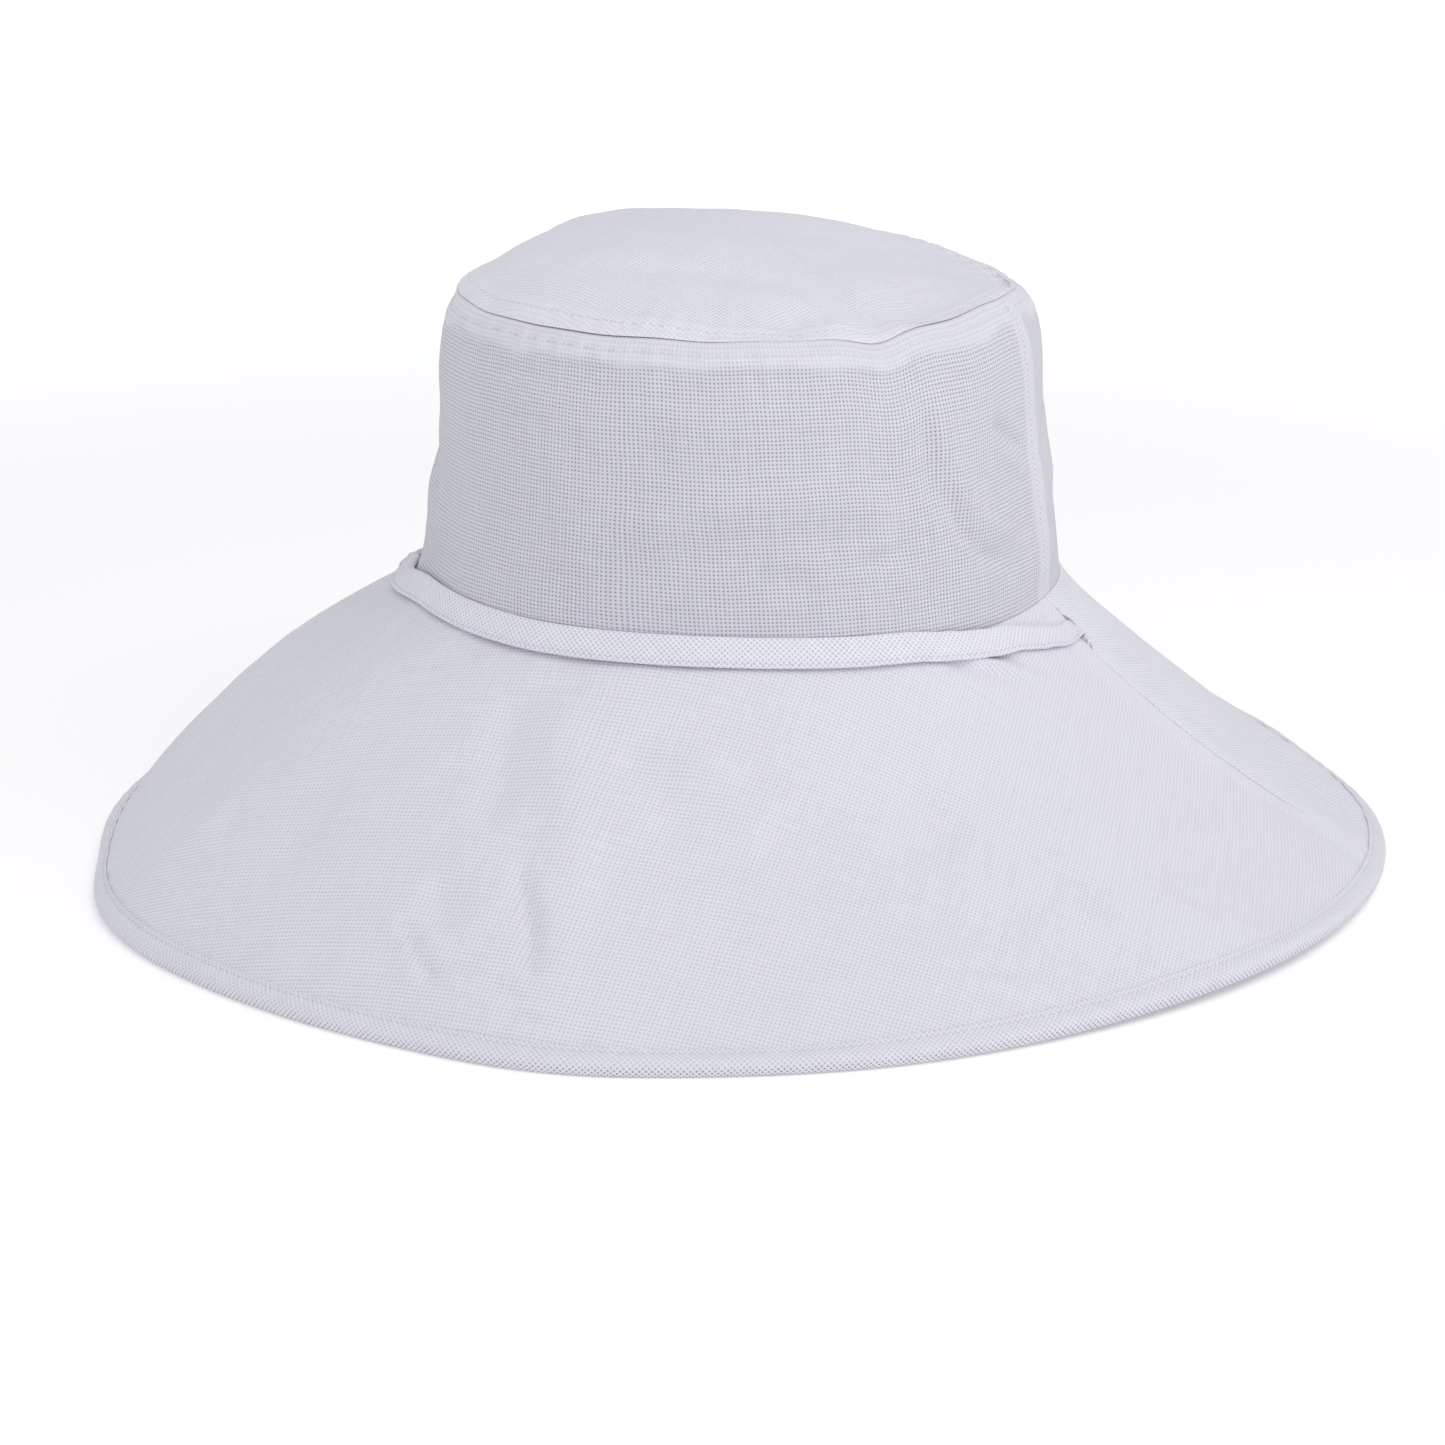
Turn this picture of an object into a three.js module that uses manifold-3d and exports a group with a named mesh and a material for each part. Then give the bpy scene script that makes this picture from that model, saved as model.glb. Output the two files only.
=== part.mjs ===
// Wide-brim sewn cloth hat: a domed tip, a two-panel crown side, a two-panel lined brim with a
// corded, bound edge, and a narrow cloth tie that runs round the front and down through two slits.
// Millimetres, +Z up. The front faces -Y, and the hat stands on its brim edge on the plane Z = 0.
import * as THREE from "three";
import Module from "manifold-3d";
import { mergeVertices } from "three/addons/utils/BufferGeometryUtils.js";

// ---- Crown ----
const BASE_HALF_WIDTH = 91.5;
const BASE_HALF_DEPTH = 89.5;
const BASE_SQUARENESS = 2.2;
const BASE_HEIGHT = 79;
const SEAM_HALF_WIDTH = 77;
const SEAM_HALF_DEPTH = 87.5;
const SEAM_SQUARENESS = 2.07;
const SEAM_HEIGHT = 163;
const SEAM_FALL_TO_RIGHT = 0.01;
const SEAM_FALL_TO_BACK = 0.01;
const SIDE_BOW = 1.2;
const SHOULDER_ROUNDING = 3.6;
const SHOULDER_ROWS = [0.99, 0.96, 0.9, 0.82];
const DOME_HEIGHT = 14.6;
const DOME_FLATNESS = 2.66;
const DOME_SOFTNESS = 0.79;
const DOME_LEAN_LEFT = 0.38;
const DOME_LEAN_FRONT = 0.21;

// ---- Brim ----
const EDGE_HALF_WIDTH = 188.5;
const EDGE_HALF_DEPTH = 195;
const EDGE_SQUARENESS = 2;
const BELL_SAG = 1.2;
const BELL_BULGE_LEFT = 4.8;
const EDGE_DROOP = 1.8;
const BRIM_START_GAP = 0.6;
const BRIM_END_MARGIN = 2.2;
const BRIM_ROWS = [0, 0.2, 0.4, 0.6, 0.8, 0.95, 1];

// ---- Cloth and trim ----
const CLOTH = 0.8;
const INTERLINING = 0.6;
const LAYER_GAP = 0.4;
const TAPE_THICKNESS = 0.6;
const SEAM_TAPE_WIDTH = 12;
const SEAM_TAPE_TOP = 0.8;
const SWEATBAND_THICKNESS = 1;
const SWEATBAND_HEIGHT = 28;
const LABEL_THICKNESS = 0.4;
const LABEL_HALF_ANGLE = 0.17;
const LABEL_TOP = 0.34;
const LABEL_FOOT = 0.08;
const BINDING_REACH = 8;
const ROLL_RADIUS = 2.8;
const ROLL_CENTRE_HEIGHT = 2.5;
const FILLER_CORD_RADIUS = 1.5;
const SEAM_GAP_ANGLE = 0.0018;

// ---- Tie ----
const TIE_WIDTH = 8.4;
const TIE_THICKNESS = 1.8;
const TIE_CHAMFER = 0.45;
const TIE_REST_OFFSET = 2.5;
const TIE_REST_LIFT = 2.6;
const TIE_LEAN = 0.35;
const TIE_BRIM_GAP = 0.7;
const TIE_LEAVES_CROWN = 0.8;
const TIE_REACHES_SLIT = 0.975;
const TIE_END_CROWDING = 0.3;
const TAIL_LENGTH = 380;
const TAIL_TOP_GAP = 3;
const TAIL_FLOOR_BEND = 20;
const SLIT_START = 4.8;
const SLIT_LENGTH = 9.2;
const SLIT_WIDTH = 4;
const TACK_DISTANCE = 1.2;
const TACK_WIDTH = 1.6;
const TACK_LENGTH = 5;
const TACK_HEIGHT = 0.7;

// ---- How finely each part is divided ----
const TIP_RINGS = [0.12, 0.35, 0.55, 0.72, 0.84, 0.92, 0.97, 1];
const TIP_STEPS = 40;
const SIDE_STEPS = 26;
const SWEATBAND_STEPS = 48;
const TIP_TAPE_STEPS = 44;
const BRIM_STEPS = 24;
const EDGE_STEPS = 48;
const ROLL_STEPS = 6;
const CORD_SIDES = 6;
const TIE_STEPS = 36;
const TAIL_BEND_STEPS = 6;
const TAIL_ROUND_STEPS = 20;

// ---- Worked out from the sizes above ----
const STACK = 2 * CLOTH + INTERLINING + 2 * LAYER_GAP;
const BRIM_END_SLOPE = THREE.MathUtils.degToRad(50);
const BRIM_END_INSET = ROLL_RADIUS - (STACK / 2) * Math.sin(BRIM_END_SLOPE);
const BRIM_END_HEIGHT = ROLL_CENTRE_HEIGHT + (STACK / 2) * Math.cos(BRIM_END_SLOPE);
const SLIT_CENTRE = BASE_HALF_WIDTH + SLIT_START + SLIT_LENGTH / 2;
const QUARTER = Math.PI / 2;
const SIDE_HEIGHT = SEAM_HEIGHT - BASE_HEIGHT;
const BEHIND_SIDE = CLOTH + LAYER_GAP;

// These bring the tallest values of v^6 (1 - v) and u^5 (1 - u) to one.
const SHOULDER_SCALE = 17.6;
const DROOP_SCALE = 15;

const COLOURS = {
  canvas: { color: 0xe9e8ef, roughness: 0.95, metalness: 0 },
  lining: { color: 0xe4e3ea, roughness: 0.95, metalness: 0 },
  stiffener: { color: 0xdedee2, roughness: 0.9, metalness: 0 },
  bias: { color: 0xeeedf4, roughness: 0.95, metalness: 0 },
  thread: { color: 0xf4f3f8, roughness: 0.7, metalness: 0 },
  label: { color: 0xf6f5f2, roughness: 0.6, metalness: 0 },
};

const hat = new THREE.Group();

function addMesh(name, geometry, finish) {
  const mesh = new THREE.Mesh(geometry, new THREE.MeshStandardMaterial(COLOURS[finish]));
  mesh.name = name;
  hat.add(mesh);
  return mesh;
}

// A point of an oval (a superellipse) in plan: angle 0 is the front, a quarter turn is +X.
function oval(halfWidth, halfDepth, squareness, angle) {
  const power = 2 / squareness;
  const s = Math.sin(angle);
  const c = Math.cos(angle);
  const x = halfWidth * Math.sign(s) * Math.abs(s) ** power;
  const y = -halfDepth * Math.sign(c) * Math.abs(c) ** power;
  return new THREE.Vector3(x, y, 0);
}

function outward(angle) {
  return new THREE.Vector3(Math.sin(angle), -Math.cos(angle), 0);
}

// ---- Surfaces: each takes an angle, a place from 0 to 1 across the panel, and an inset ----

function baseRing(angle, inset) {
  const halfWidth = BASE_HALF_WIDTH - inset;
  const halfDepth = BASE_HALF_DEPTH - inset;
  return oval(halfWidth, halfDepth, BASE_SQUARENESS, angle).setZ(BASE_HEIGHT);
}

// The seam between tip and side, which is all but level.
function seamRing(angle, inset) {
  const p = oval(SEAM_HALF_WIDTH - inset, SEAM_HALF_DEPTH - inset, SEAM_SQUARENESS, angle);
  return p.setZ(SEAM_HEIGHT - SEAM_FALL_TO_RIGHT * p.x - SEAM_FALL_TO_BACK * p.y);
}

// The crown side: straight from base to seam, bowed a little, with a rounded shoulder.
function crownSide(angle, v, inset) {
  const p = baseRing(angle, inset).lerp(seamRing(angle, inset), v);
  const bow = SIDE_BOW * Math.sin(Math.PI * v);
  const shoulder = SHOULDER_ROUNDING * SHOULDER_SCALE * v ** 6 * (1 - v);
  return p.addScaledVector(outward(angle), bow + shoulder);
}

// The tip: a shallow, flat-topped dome that is fuller at the left and the front.
function crownTip(angle, r, inset) {
  const centre = new THREE.Vector3(0, 0, SEAM_HEIGHT);
  const p = centre.clone().lerp(seamRing(angle, inset), r);
  const lean = 1 - r * (DOME_LEAN_LEFT * Math.sin(angle) - DOME_LEAN_FRONT * Math.cos(angle));
  const height = (DOME_HEIGHT - inset) * Math.max(0, 1 - r ** DOME_FLATNESS) ** DOME_SOFTNESS;
  return p.setZ(p.z + height * lean);
}

// The brim's top surface: a cone from crown to edge, belled outwards and drooping near the edge.
function brimTop(angle, u) {
  const start = baseRing(angle, -BRIM_START_GAP);
  const halfWidth = EDGE_HALF_WIDTH - BRIM_END_INSET;
  const halfDepth = EDGE_HALF_DEPTH - BRIM_END_INSET;
  const end = oval(halfWidth, halfDepth, EDGE_SQUARENESS, angle).setZ(BRIM_END_HEIGHT);
  const chord = end.clone().sub(start);
  const drop = -chord.z;
  const across = Math.hypot(chord.x, chord.y);
  const away = new THREE.Vector3(chord.x * drop, chord.y * drop, across * across).normalize();
  const bell = (-BELL_SAG - BELL_BULGE_LEFT * Math.sin(angle)) * 4 * u * (1 - u);
  const droop = EDGE_DROOP * DROOP_SCALE * u ** 5 * (1 - u);
  return start.lerp(end, u).addScaledVector(away, bell + droop);
}

// The brim surface's local frame: a point, its slope towards the edge, and its upward normal.
function brimFrame(angle, u) {
  const step = 1e-3;
  const low = brimTop(angle, Math.max(u - step, 0));
  const slope = brimTop(angle, Math.min(u + step, 1)).sub(low);
  const along = brimTop(angle + step, u).sub(brimTop(angle - step, u));
  const normal = along.cross(slope).normalize().negate();
  return { point: brimTop(angle, u), slope: slope.normalize(), normal };
}

function brimPoint(angle, u, above) {
  const frame = brimFrame(angle, u);
  return frame.point.addScaledVector(frame.normal, above);
}

function brimLength(angle) {
  return brimTop(angle, 0).distanceTo(brimTop(angle, 1));
}

// ---- Mesh makers ----

// A mesh from points and faces, each of which has three or four corners.
function geometryOf(points, faces) {
  const geometry = new THREE.BufferGeometry();
  const places = points.flatMap((p) => [p.x, p.y, p.z]);
  geometry.setAttribute("position", new THREE.Float32BufferAttribute(places, 3));
  const triangles = faces.flatMap(([a, b, c, d]) => (d === undefined ? [a, b, c] : [a, b, c, a, c, d]));
  geometry.setIndex(triangles);
  geometry.computeVertexNormals();
  return geometry;
}

// A closed section carried through rows of points. Each row is one section, in the same order.
function sweep(rows, closed) {
  const n = rows[0].length;
  const points = rows.flat();
  const faces = [];
  const last = closed ? rows.length : rows.length - 1;
  for (let i = 0; i < last; i++) {
    const a = i * n;
    const b = ((i + 1) % rows.length) * n;
    for (let j = 0; j < n; j++) {
      const k = (j + 1) % n;
      faces.push([a + j, a + k, b + k, b + j]);
    }
  }
  if (!closed) {
    faces.push(...cap(0, n, true));
    faces.push(...cap((rows.length - 1) * n, n, false));
  }
  return geometryOf(points, faces);
}

// Closes one end of a sweep. The section folds back on itself halfway, so its two halves pair up.
function cap(first, n, start) {
  const faces = [];
  for (let j = 0; j < n / 2 - 1; j++) {
    const a = first + j;
    const b = first + j + 1;
    const c = first + n - 2 - j;
    const d = first + n - 1 - j;
    faces.push(start ? [d, c, b, a] : [a, b, c, d]);
  }
  return faces;
}

// A panel of cloth between two angles. Its section runs down or out along the outer face, and back
// along the inner one.
function panel(face, from, to, steps, across) {
  const rows = [];
  for (let i = 0; i <= steps; i++) {
    const angle = from + ((to - from) * i) / steps;
    const outer = across.map((v) => face(angle, v, false));
    const inner = across.map((v) => face(angle, v, true)).reverse();
    rows.push([...outer, ...inner]);
  }
  return sweep(rows, false);
}

// Evenly spaced values from one number to another.
function spread(from, to, steps) {
  return Array.from({ length: steps + 1 }, (_, i) => from + ((to - from) * i) / steps);
}

const wasm = await Module();
wasm.setup();

function solidOf(geometry) {
  const bare = geometry.clone();
  bare.deleteAttribute("normal");
  bare.deleteAttribute("uv");
  const merged = mergeVertices(bare, 1e-4);
  return new wasm.Manifold(
    new wasm.Mesh({
      numProp: 3,
      vertProperties: merged.attributes.position.array,
      triVerts: new Uint32Array(merged.index.array),
    }),
  );
}

function geometryOfSolid(solid) {
  const mesh = solid.getMesh();
  const geometry = new THREE.BufferGeometry();
  geometry.setAttribute("position", new THREE.BufferAttribute(mesh.vertProperties, 3));
  geometry.setIndex(new THREE.BufferAttribute(mesh.triVerts, 1));
  geometry.computeVertexNormals();
  return geometry;
}

// The two slits that the tie goes down through, one in each side seam of the brim.
function cutSlits(geometry) {
  let solid = solidOf(geometry);
  for (const side of [-1, 1]) {
    const slit = new THREE.BoxGeometry(SLIT_LENGTH, SLIT_WIDTH, BASE_HEIGHT);
    slit.translate(side * SLIT_CENTRE, 0, BASE_HEIGHT);
    solid = solid.subtract(solidOf(slit));
  }
  return geometryOfSolid(solid);
}

// ---- Crown ----

function addCrownTip() {
  const points = [];
  const faces = [];
  for (const inset of [0, CLOTH]) {
    for (const r of TIP_RINGS) {
      for (let i = 0; i < TIP_STEPS; i++) {
        points.push(crownTip((i / TIP_STEPS) * 2 * Math.PI, r, inset));
      }
    }
    points.push(crownTip(0, 0, inset));
  }
  const layer = TIP_RINGS.length * TIP_STEPS + 1;
  const rim = (TIP_RINGS.length - 1) * TIP_STEPS;
  for (let i = 0; i < TIP_STEPS; i++) {
    const k = (i + 1) % TIP_STEPS;
    for (let a = 0; a < rim; a += TIP_STEPS) {
      const b = a + TIP_STEPS;
      faces.push([a + i, b + i, b + k, a + k]);
      faces.push([layer + a + k, layer + b + k, layer + b + i, layer + a + i]);
    }
    faces.push([rim + k, rim + i, layer + rim + i, layer + rim + k]);
    faces.push([layer - 1, i, k]);
    faces.push([2 * layer - 1, layer + k, layer + i]);
  }
  addMesh("crown_tip", geometryOf(points, faces), "canvas");
}

function addCrownSide(name, from, to) {
  const face = (angle, v, inside) => crownSide(angle, v, inside ? CLOTH : 0);
  const heights = [...SHOULDER_ROWS, ...spread(0.7, 0, 3)];
  addMesh(name, panel(face, from, to, SIDE_STEPS, heights), "canvas");
}

// ---- Inside the crown ----

// A face of a strip that lies inside the crown side, a distance in from its outer surface.
function stripFace(near, thickness) {
  return (angle, v, inside) => crownSide(angle, v, near + (inside ? thickness : 0));
}

// A strip all the way round, whose two ends meet at the back.
function roundStrip(face, steps, heights) {
  const from = Math.PI + SEAM_GAP_ANGLE;
  const to = 3 * Math.PI - SEAM_GAP_ANGLE;
  return panel(face, from, to, steps, heights);
}

function addSweatband() {
  const face = stripFace(BEHIND_SIDE, SWEATBAND_THICKNESS);
  const heights = spread(SWEATBAND_HEIGHT / SIDE_HEIGHT, 0, 2);
  addMesh("sweatband", roundStrip(face, SWEATBAND_STEPS, heights), "lining");
}

function addTipSeamTape() {
  const face = stripFace(BEHIND_SIDE, TAPE_THICKNESS);
  addMesh("tip_seam_tape", roundStrip(face, TIP_TAPE_STEPS, SHOULDER_ROWS.slice(1)), "bias");
}

function addSideSeamTape(name, angle) {
  const face = stripFace(BEHIND_SIDE, TAPE_THICKNESS);
  const reach = SEAM_TAPE_WIDTH / 2 / BASE_HALF_WIDTH;
  const heights = spread(SEAM_TAPE_TOP, (SWEATBAND_HEIGHT + 1) / SIDE_HEIGHT, 4);
  addMesh(name, panel(face, angle - reach, angle + reach, 4, heights), "bias");
}

function addCareLabel() {
  const face = stripFace(BEHIND_SIDE + SWEATBAND_THICKNESS + LAYER_GAP, LABEL_THICKNESS);
  const from = Math.PI - LABEL_HALF_ANGLE;
  const to = Math.PI + LABEL_HALF_ANGLE;
  addMesh("care_label", panel(face, from, to, 4, spread(LABEL_TOP, LABEL_FOOT, 2)), "label");
}

// ---- Brim ----

// One cloth layer of the brim, between two depths below its top surface.
function addBrimLayer(name, from, to, top, bottom, finish) {
  const face = (angle, u, inside) => {
    const place = u * (1 - BRIM_END_MARGIN / brimLength(angle));
    return brimPoint(angle, place, inside ? -bottom : -top);
  };
  addMesh(name, cutSlits(panel(face, from, to, BRIM_STEPS, BRIM_ROWS)), finish);
}

function addBrim() {
  const halves = { front: -QUARTER, back: QUARTER };
  const middle = CLOTH + LAYER_GAP;
  const filled = middle + INTERLINING;
  const under = filled + LAYER_GAP;
  for (const [half, start] of Object.entries(halves)) {
    const from = start + SEAM_GAP_ANGLE;
    const to = start + Math.PI - SEAM_GAP_ANGLE;
    addBrimLayer(`brim_upper_${half}`, from, to, 0, CLOTH, "canvas");
    addBrimLayer(`brim_interlining_${half}`, from, to, middle, filled, "stiffener");
    addBrimLayer(`brim_under_${half}`, from, to, under, under + CLOTH, "lining");
  }
}

// The centre of the rolled edge: a level oval just above the surface that the hat stands on.
function rollCentre(angle) {
  const halfWidth = EDGE_HALF_WIDTH - ROLL_RADIUS;
  const halfDepth = EDGE_HALF_DEPTH - ROLL_RADIUS;
  return oval(halfWidth, halfDepth, EDGE_SQUARENESS, angle).setZ(ROLL_CENTRE_HEIGHT);
}

// One skin of the binding's section: down its top strip, round the roll, and up its under strip.
function bindingSkin(angle, radius) {
  const strip = [1, 0.5];
  const above = radius - STACK / 2;
  const below = -STACK - above;
  const length = brimLength(angle);
  const at = (share, height) => brimPoint(angle, 1 - (BINDING_REACH * share) / length, height);
  const { normal, slope } = brimFrame(angle, 1);
  const turns = spread(0, Math.PI, ROLL_STEPS);
  const roll = turns.map((turn) => {
    const p = rollCentre(angle);
    p.addScaledVector(normal, radius * Math.cos(turn));
    p.addScaledVector(slope, radius * Math.sin(turn));
    return p.setZ(Math.max(p.z, 0));
  });
  const top = strip.map((share) => at(share, above));
  const bottom = strip.map((share) => at(share, below)).reverse();
  return [...top, ...roll, ...bottom];
}

function addBinding() {
  const rows = [];
  for (let i = 0; i < EDGE_STEPS; i++) {
    const angle = (i / EDGE_STEPS) * 2 * Math.PI;
    const outer = bindingSkin(angle, ROLL_RADIUS);
    const inner = bindingSkin(angle, ROLL_RADIUS - CLOTH).reverse();
    rows.push([...outer, ...inner]);
  }
  addMesh("brim_edge_binding", sweep(rows, true), "bias");
}

function addFillerCord() {
  const rows = [];
  for (let i = 0; i < EDGE_STEPS; i++) {
    const angle = (i / EDGE_STEPS) * 2 * Math.PI;
    const across = outward(angle);
    const row = [];
    for (let j = 0; j < CORD_SIDES; j++) {
      const turn = (-j / CORD_SIDES) * 2 * Math.PI;
      const p = rollCentre(angle).addScaledVector(across, FILLER_CORD_RADIUS * Math.cos(turn));
      row.push(p.setZ(p.z + FILLER_CORD_RADIUS * Math.sin(turn)));
    }
    rows.push(row);
  }
  addMesh("brim_edge_filler_cord", sweep(rows, true), "stiffener");
}

// ---- Tie ----

// The share of the brim's side seam, from its start, that lies within a level distance of the crown.
function slitPlace(side, distance) {
  let low = 0;
  let high = 0.5;
  for (let i = 0; i < 30; i++) {
    const middle = (low + high) / 2;
    const reached = side * brimTop(side * QUARTER, middle).x - BASE_HALF_WIDTH;
    if (reached < distance) low = middle;
    else high = middle;
  }
  return low;
}

// The strap's section: a flat oblong with chamfered corners, about a centre.
function strapSection(centre, widthWay, thickWay) {
  const w = TIE_WIDTH / 2;
  const t = TIE_THICKNESS / 2;
  const c = TIE_CHAMFER;
  const upper = [[-w, -t + c], [-w, t - c], [-w + c, t], [w - c, t]];
  const lower = upper.map(([a, b]) => [-a, -b]);
  return [...upper, ...lower].map(([a, b]) =>
    centre.clone().addScaledVector(widthWay, a).addScaledVector(thickWay, b),
  );
}

// A strap carried through stations, each with a centre, a direction of travel and a width direction.
function strap(stations) {
  const rows = stations.map(({ centre, travel, width }) => {
    const thick = width.clone().cross(travel).normalize();
    return strapSection(centre, width, thick);
  });
  return sweep(rows, false);
}

// Where the strap lies at one angle: against the crown at the front, out over the slits at the sides.
function tiePlace(angle) {
  const side = angle < 0 ? -1 : 1;
  const reached = Math.abs(angle) / QUARTER;
  const share = THREE.MathUtils.smoothstep(reached, TIE_LEAVES_CROWN, TIE_REACHES_SLIT);
  const nearCrown = baseRing(angle, -TIE_REST_OFFSET).setZ(BASE_HEIGHT + TIE_REST_LIFT);
  const leaning = outward(angle).multiplyScalar(TIE_LEAN).setZ(-1).normalize();
  const { point, slope, normal } = brimFrame(angle, slitPlace(side, SLIT_START + SLIT_LENGTH / 2));
  const overSlit = point.addScaledVector(normal, TIE_THICKNESS / 2 + TIE_BRIM_GAP);
  const centre = nearCrown.lerp(overSlit, share);
  const width = leaning.lerp(slope, share).normalize();
  return { centre, width };
}

// The stations lie closer together towards both ends, where the strap twists.
function addTieFrontRun() {
  const crowded = (a) => a * (1 + TIE_END_CROWDING * (1 - a * a));
  const angles = spread(-1, 1, TIE_STEPS).map((a) => crowded(a) * QUARTER * TIE_REACHES_SLIT);
  const places = angles.map(tiePlace);
  const stations = places.map((place, i) => {
    const before = places[Math.max(i - 1, 0)].centre;
    const after = places[Math.min(i + 1, places.length - 1)].centre;
    return { ...place, travel: after.clone().sub(before).normalize() };
  });
  addMesh("tie_front_run", strap(stations), "bias");
}

// The free tail of the tie: down through the slit, a soft bend, then round inside the brim.
function addTieTail(name, side) {
  const x = side * SLIT_CENTRE;
  const top = tiePlace(QUARTER).centre.z - TAIL_TOP_GAP;
  const floor = TIE_THICKNESS / 2 + LAYER_GAP;
  const leg = top - floor - TAIL_FLOOR_BEND;
  const bend = TAIL_FLOOR_BEND * QUARTER;
  const turn = (TAIL_LENGTH - leg - bend) / SLIT_CENTRE;
  const radial = new THREE.Vector3(1, 0, 0);
  const stations = spread(0, 1, 3).map((s) => ({
    centre: new THREE.Vector3(x, 0, top - leg * s),
    travel: new THREE.Vector3(0, 0, -1),
    width: radial.clone(),
  }));
  for (const a of spread(0, QUARTER, TAIL_BEND_STEPS).slice(1)) {
    const along = side * TAIL_FLOOR_BEND * (1 - Math.cos(a));
    stations.push({
      centre: new THREE.Vector3(x, along, floor + TAIL_FLOOR_BEND * (1 - Math.sin(a))),
      travel: new THREE.Vector3(0, side * Math.sin(a), -Math.cos(a)),
      width: radial.clone(),
    });
  }
  for (const a of spread(0, turn, TAIL_ROUND_STEPS).slice(1)) {
    const away = new THREE.Vector3(side * Math.cos(a), side * Math.sin(a), 0);
    const centre = new THREE.Vector3(0, side * TAIL_FLOOR_BEND, floor);
    stations.push({
      centre: centre.addScaledVector(away, SLIT_CENTRE),
      travel: new THREE.Vector3(-side * Math.sin(a), side * Math.cos(a), 0),
      width: away.multiplyScalar(side),
    });
  }
  addMesh(name, strap(stations), "bias");
}

// A bar tack: a short block of dense stitches that stops a slit from tearing further.
function addBarTack(name, side, distance) {
  const { point, normal, slope } = brimFrame(side * QUARTER, slitPlace(side, distance));
  const tack = new THREE.BoxGeometry(TACK_WIDTH, TACK_LENGTH, TACK_HEIGHT);
  const mesh = addMesh(name, tack, "thread");
  const along = new THREE.Vector3().crossVectors(normal, slope).normalize();
  mesh.setRotationFromMatrix(new THREE.Matrix4().makeBasis(slope, along, normal));
  mesh.position.copy(point).addScaledVector(normal, TACK_HEIGHT / 2 + LAYER_GAP);
}

function addTie() {
  addTieFrontRun();
  for (const [hand, side] of [["left", -1], ["right", 1]]) {
    addTieTail(`tie_tail_${hand}`, side);
    addBarTack(`slit_bartack_${hand}_inner`, side, SLIT_START - TACK_DISTANCE);
    addBarTack(`slit_bartack_${hand}_outer`, side, SLIT_START + SLIT_LENGTH + TACK_DISTANCE);
  }
}

addCrownTip();
addCrownSide("crown_side_front", -QUARTER + SEAM_GAP_ANGLE, QUARTER - SEAM_GAP_ANGLE);
addCrownSide("crown_side_back", QUARTER + SEAM_GAP_ANGLE, 3 * QUARTER - SEAM_GAP_ANGLE);
addSweatband();
addTipSeamTape();
addSideSeamTape("side_seam_tape_left", -QUARTER);
addSideSeamTape("side_seam_tape_right", QUARTER);
addCareLabel();
addBrim();
addBinding();
addFillerCord();
addTie();

export default hat;
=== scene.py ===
"""A wide-brim sewn cloth hat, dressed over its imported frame: cotton canvas panels with seams and
soft folds, a corded and bound brim edge, and a narrow cloth tie through two slits in the brim.
Metres, +Z up. The front faces -Y. Angles start at the front and grow towards +X."""
import math

import bpy
import numpy as np
from bpy.props import FloatProperty, FloatVectorProperty, PointerProperty
from bpy.types import Operator, Panel, PropertyGroup
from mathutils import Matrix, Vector


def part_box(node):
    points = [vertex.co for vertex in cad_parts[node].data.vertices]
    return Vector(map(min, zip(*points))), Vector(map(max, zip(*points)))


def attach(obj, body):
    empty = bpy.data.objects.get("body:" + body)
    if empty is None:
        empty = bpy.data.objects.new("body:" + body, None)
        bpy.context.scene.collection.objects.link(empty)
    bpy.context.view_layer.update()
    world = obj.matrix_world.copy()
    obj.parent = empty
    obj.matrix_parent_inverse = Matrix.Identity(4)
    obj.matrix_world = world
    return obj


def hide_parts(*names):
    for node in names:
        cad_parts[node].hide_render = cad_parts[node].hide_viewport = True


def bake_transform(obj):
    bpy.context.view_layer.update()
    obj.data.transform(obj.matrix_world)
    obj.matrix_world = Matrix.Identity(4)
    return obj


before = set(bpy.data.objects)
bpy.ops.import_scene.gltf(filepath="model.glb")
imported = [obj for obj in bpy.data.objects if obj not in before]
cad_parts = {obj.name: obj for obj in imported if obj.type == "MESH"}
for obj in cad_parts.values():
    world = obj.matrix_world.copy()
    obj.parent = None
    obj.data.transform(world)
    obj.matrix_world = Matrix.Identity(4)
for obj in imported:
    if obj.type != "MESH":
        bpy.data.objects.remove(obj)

bl_info = {
    "name": "Sewn cloth hat",
    "version": (1, 0, 0),
    "blender": (4, 5, 0),
    "location": "3D View > Sidebar > Cloth hat",
    "description": "Builds a wide-brim cloth hat panel by panel around its frame",
    "category": "Object",
}

MM = 0.001
QUARTER = math.pi / 2
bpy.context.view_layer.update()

# ---- Sizes that the frame gives ----
BASE_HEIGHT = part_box("brim_upper_front")[1].z
BASE_HALF_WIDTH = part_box("crown_side_front")[1].x
SEAM_HALF_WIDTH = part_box("crown_tip")[1].x
SEAM_HALF_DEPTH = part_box("crown_tip")[1].y
EDGE_HALF_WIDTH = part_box("brim_edge_binding")[1].x
EDGE_HALF_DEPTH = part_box("brim_edge_binding")[1].y

# ---- Crown shape ----
BASE_DEPTH_LESS = 2 * MM
BASE_SQUARENESS = 2.2
SEAM_HEIGHT = 163 * MM
SEAM_SQUARENESS = 2.07
SEAM_FALL = 0.01
SIDE_BOW = 1.2 * MM
SHOULDER_ROUNDING = 3.6 * MM
SHOULDER_SCALE = 17.6
DOME_HEIGHT = 14.6 * MM
DOME_FLATNESS = 2.66
DOME_SOFTNESS = 0.79
DOME_LEAN_LEFT = 0.38
DOME_LEAN_FRONT = 0.21

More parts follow.
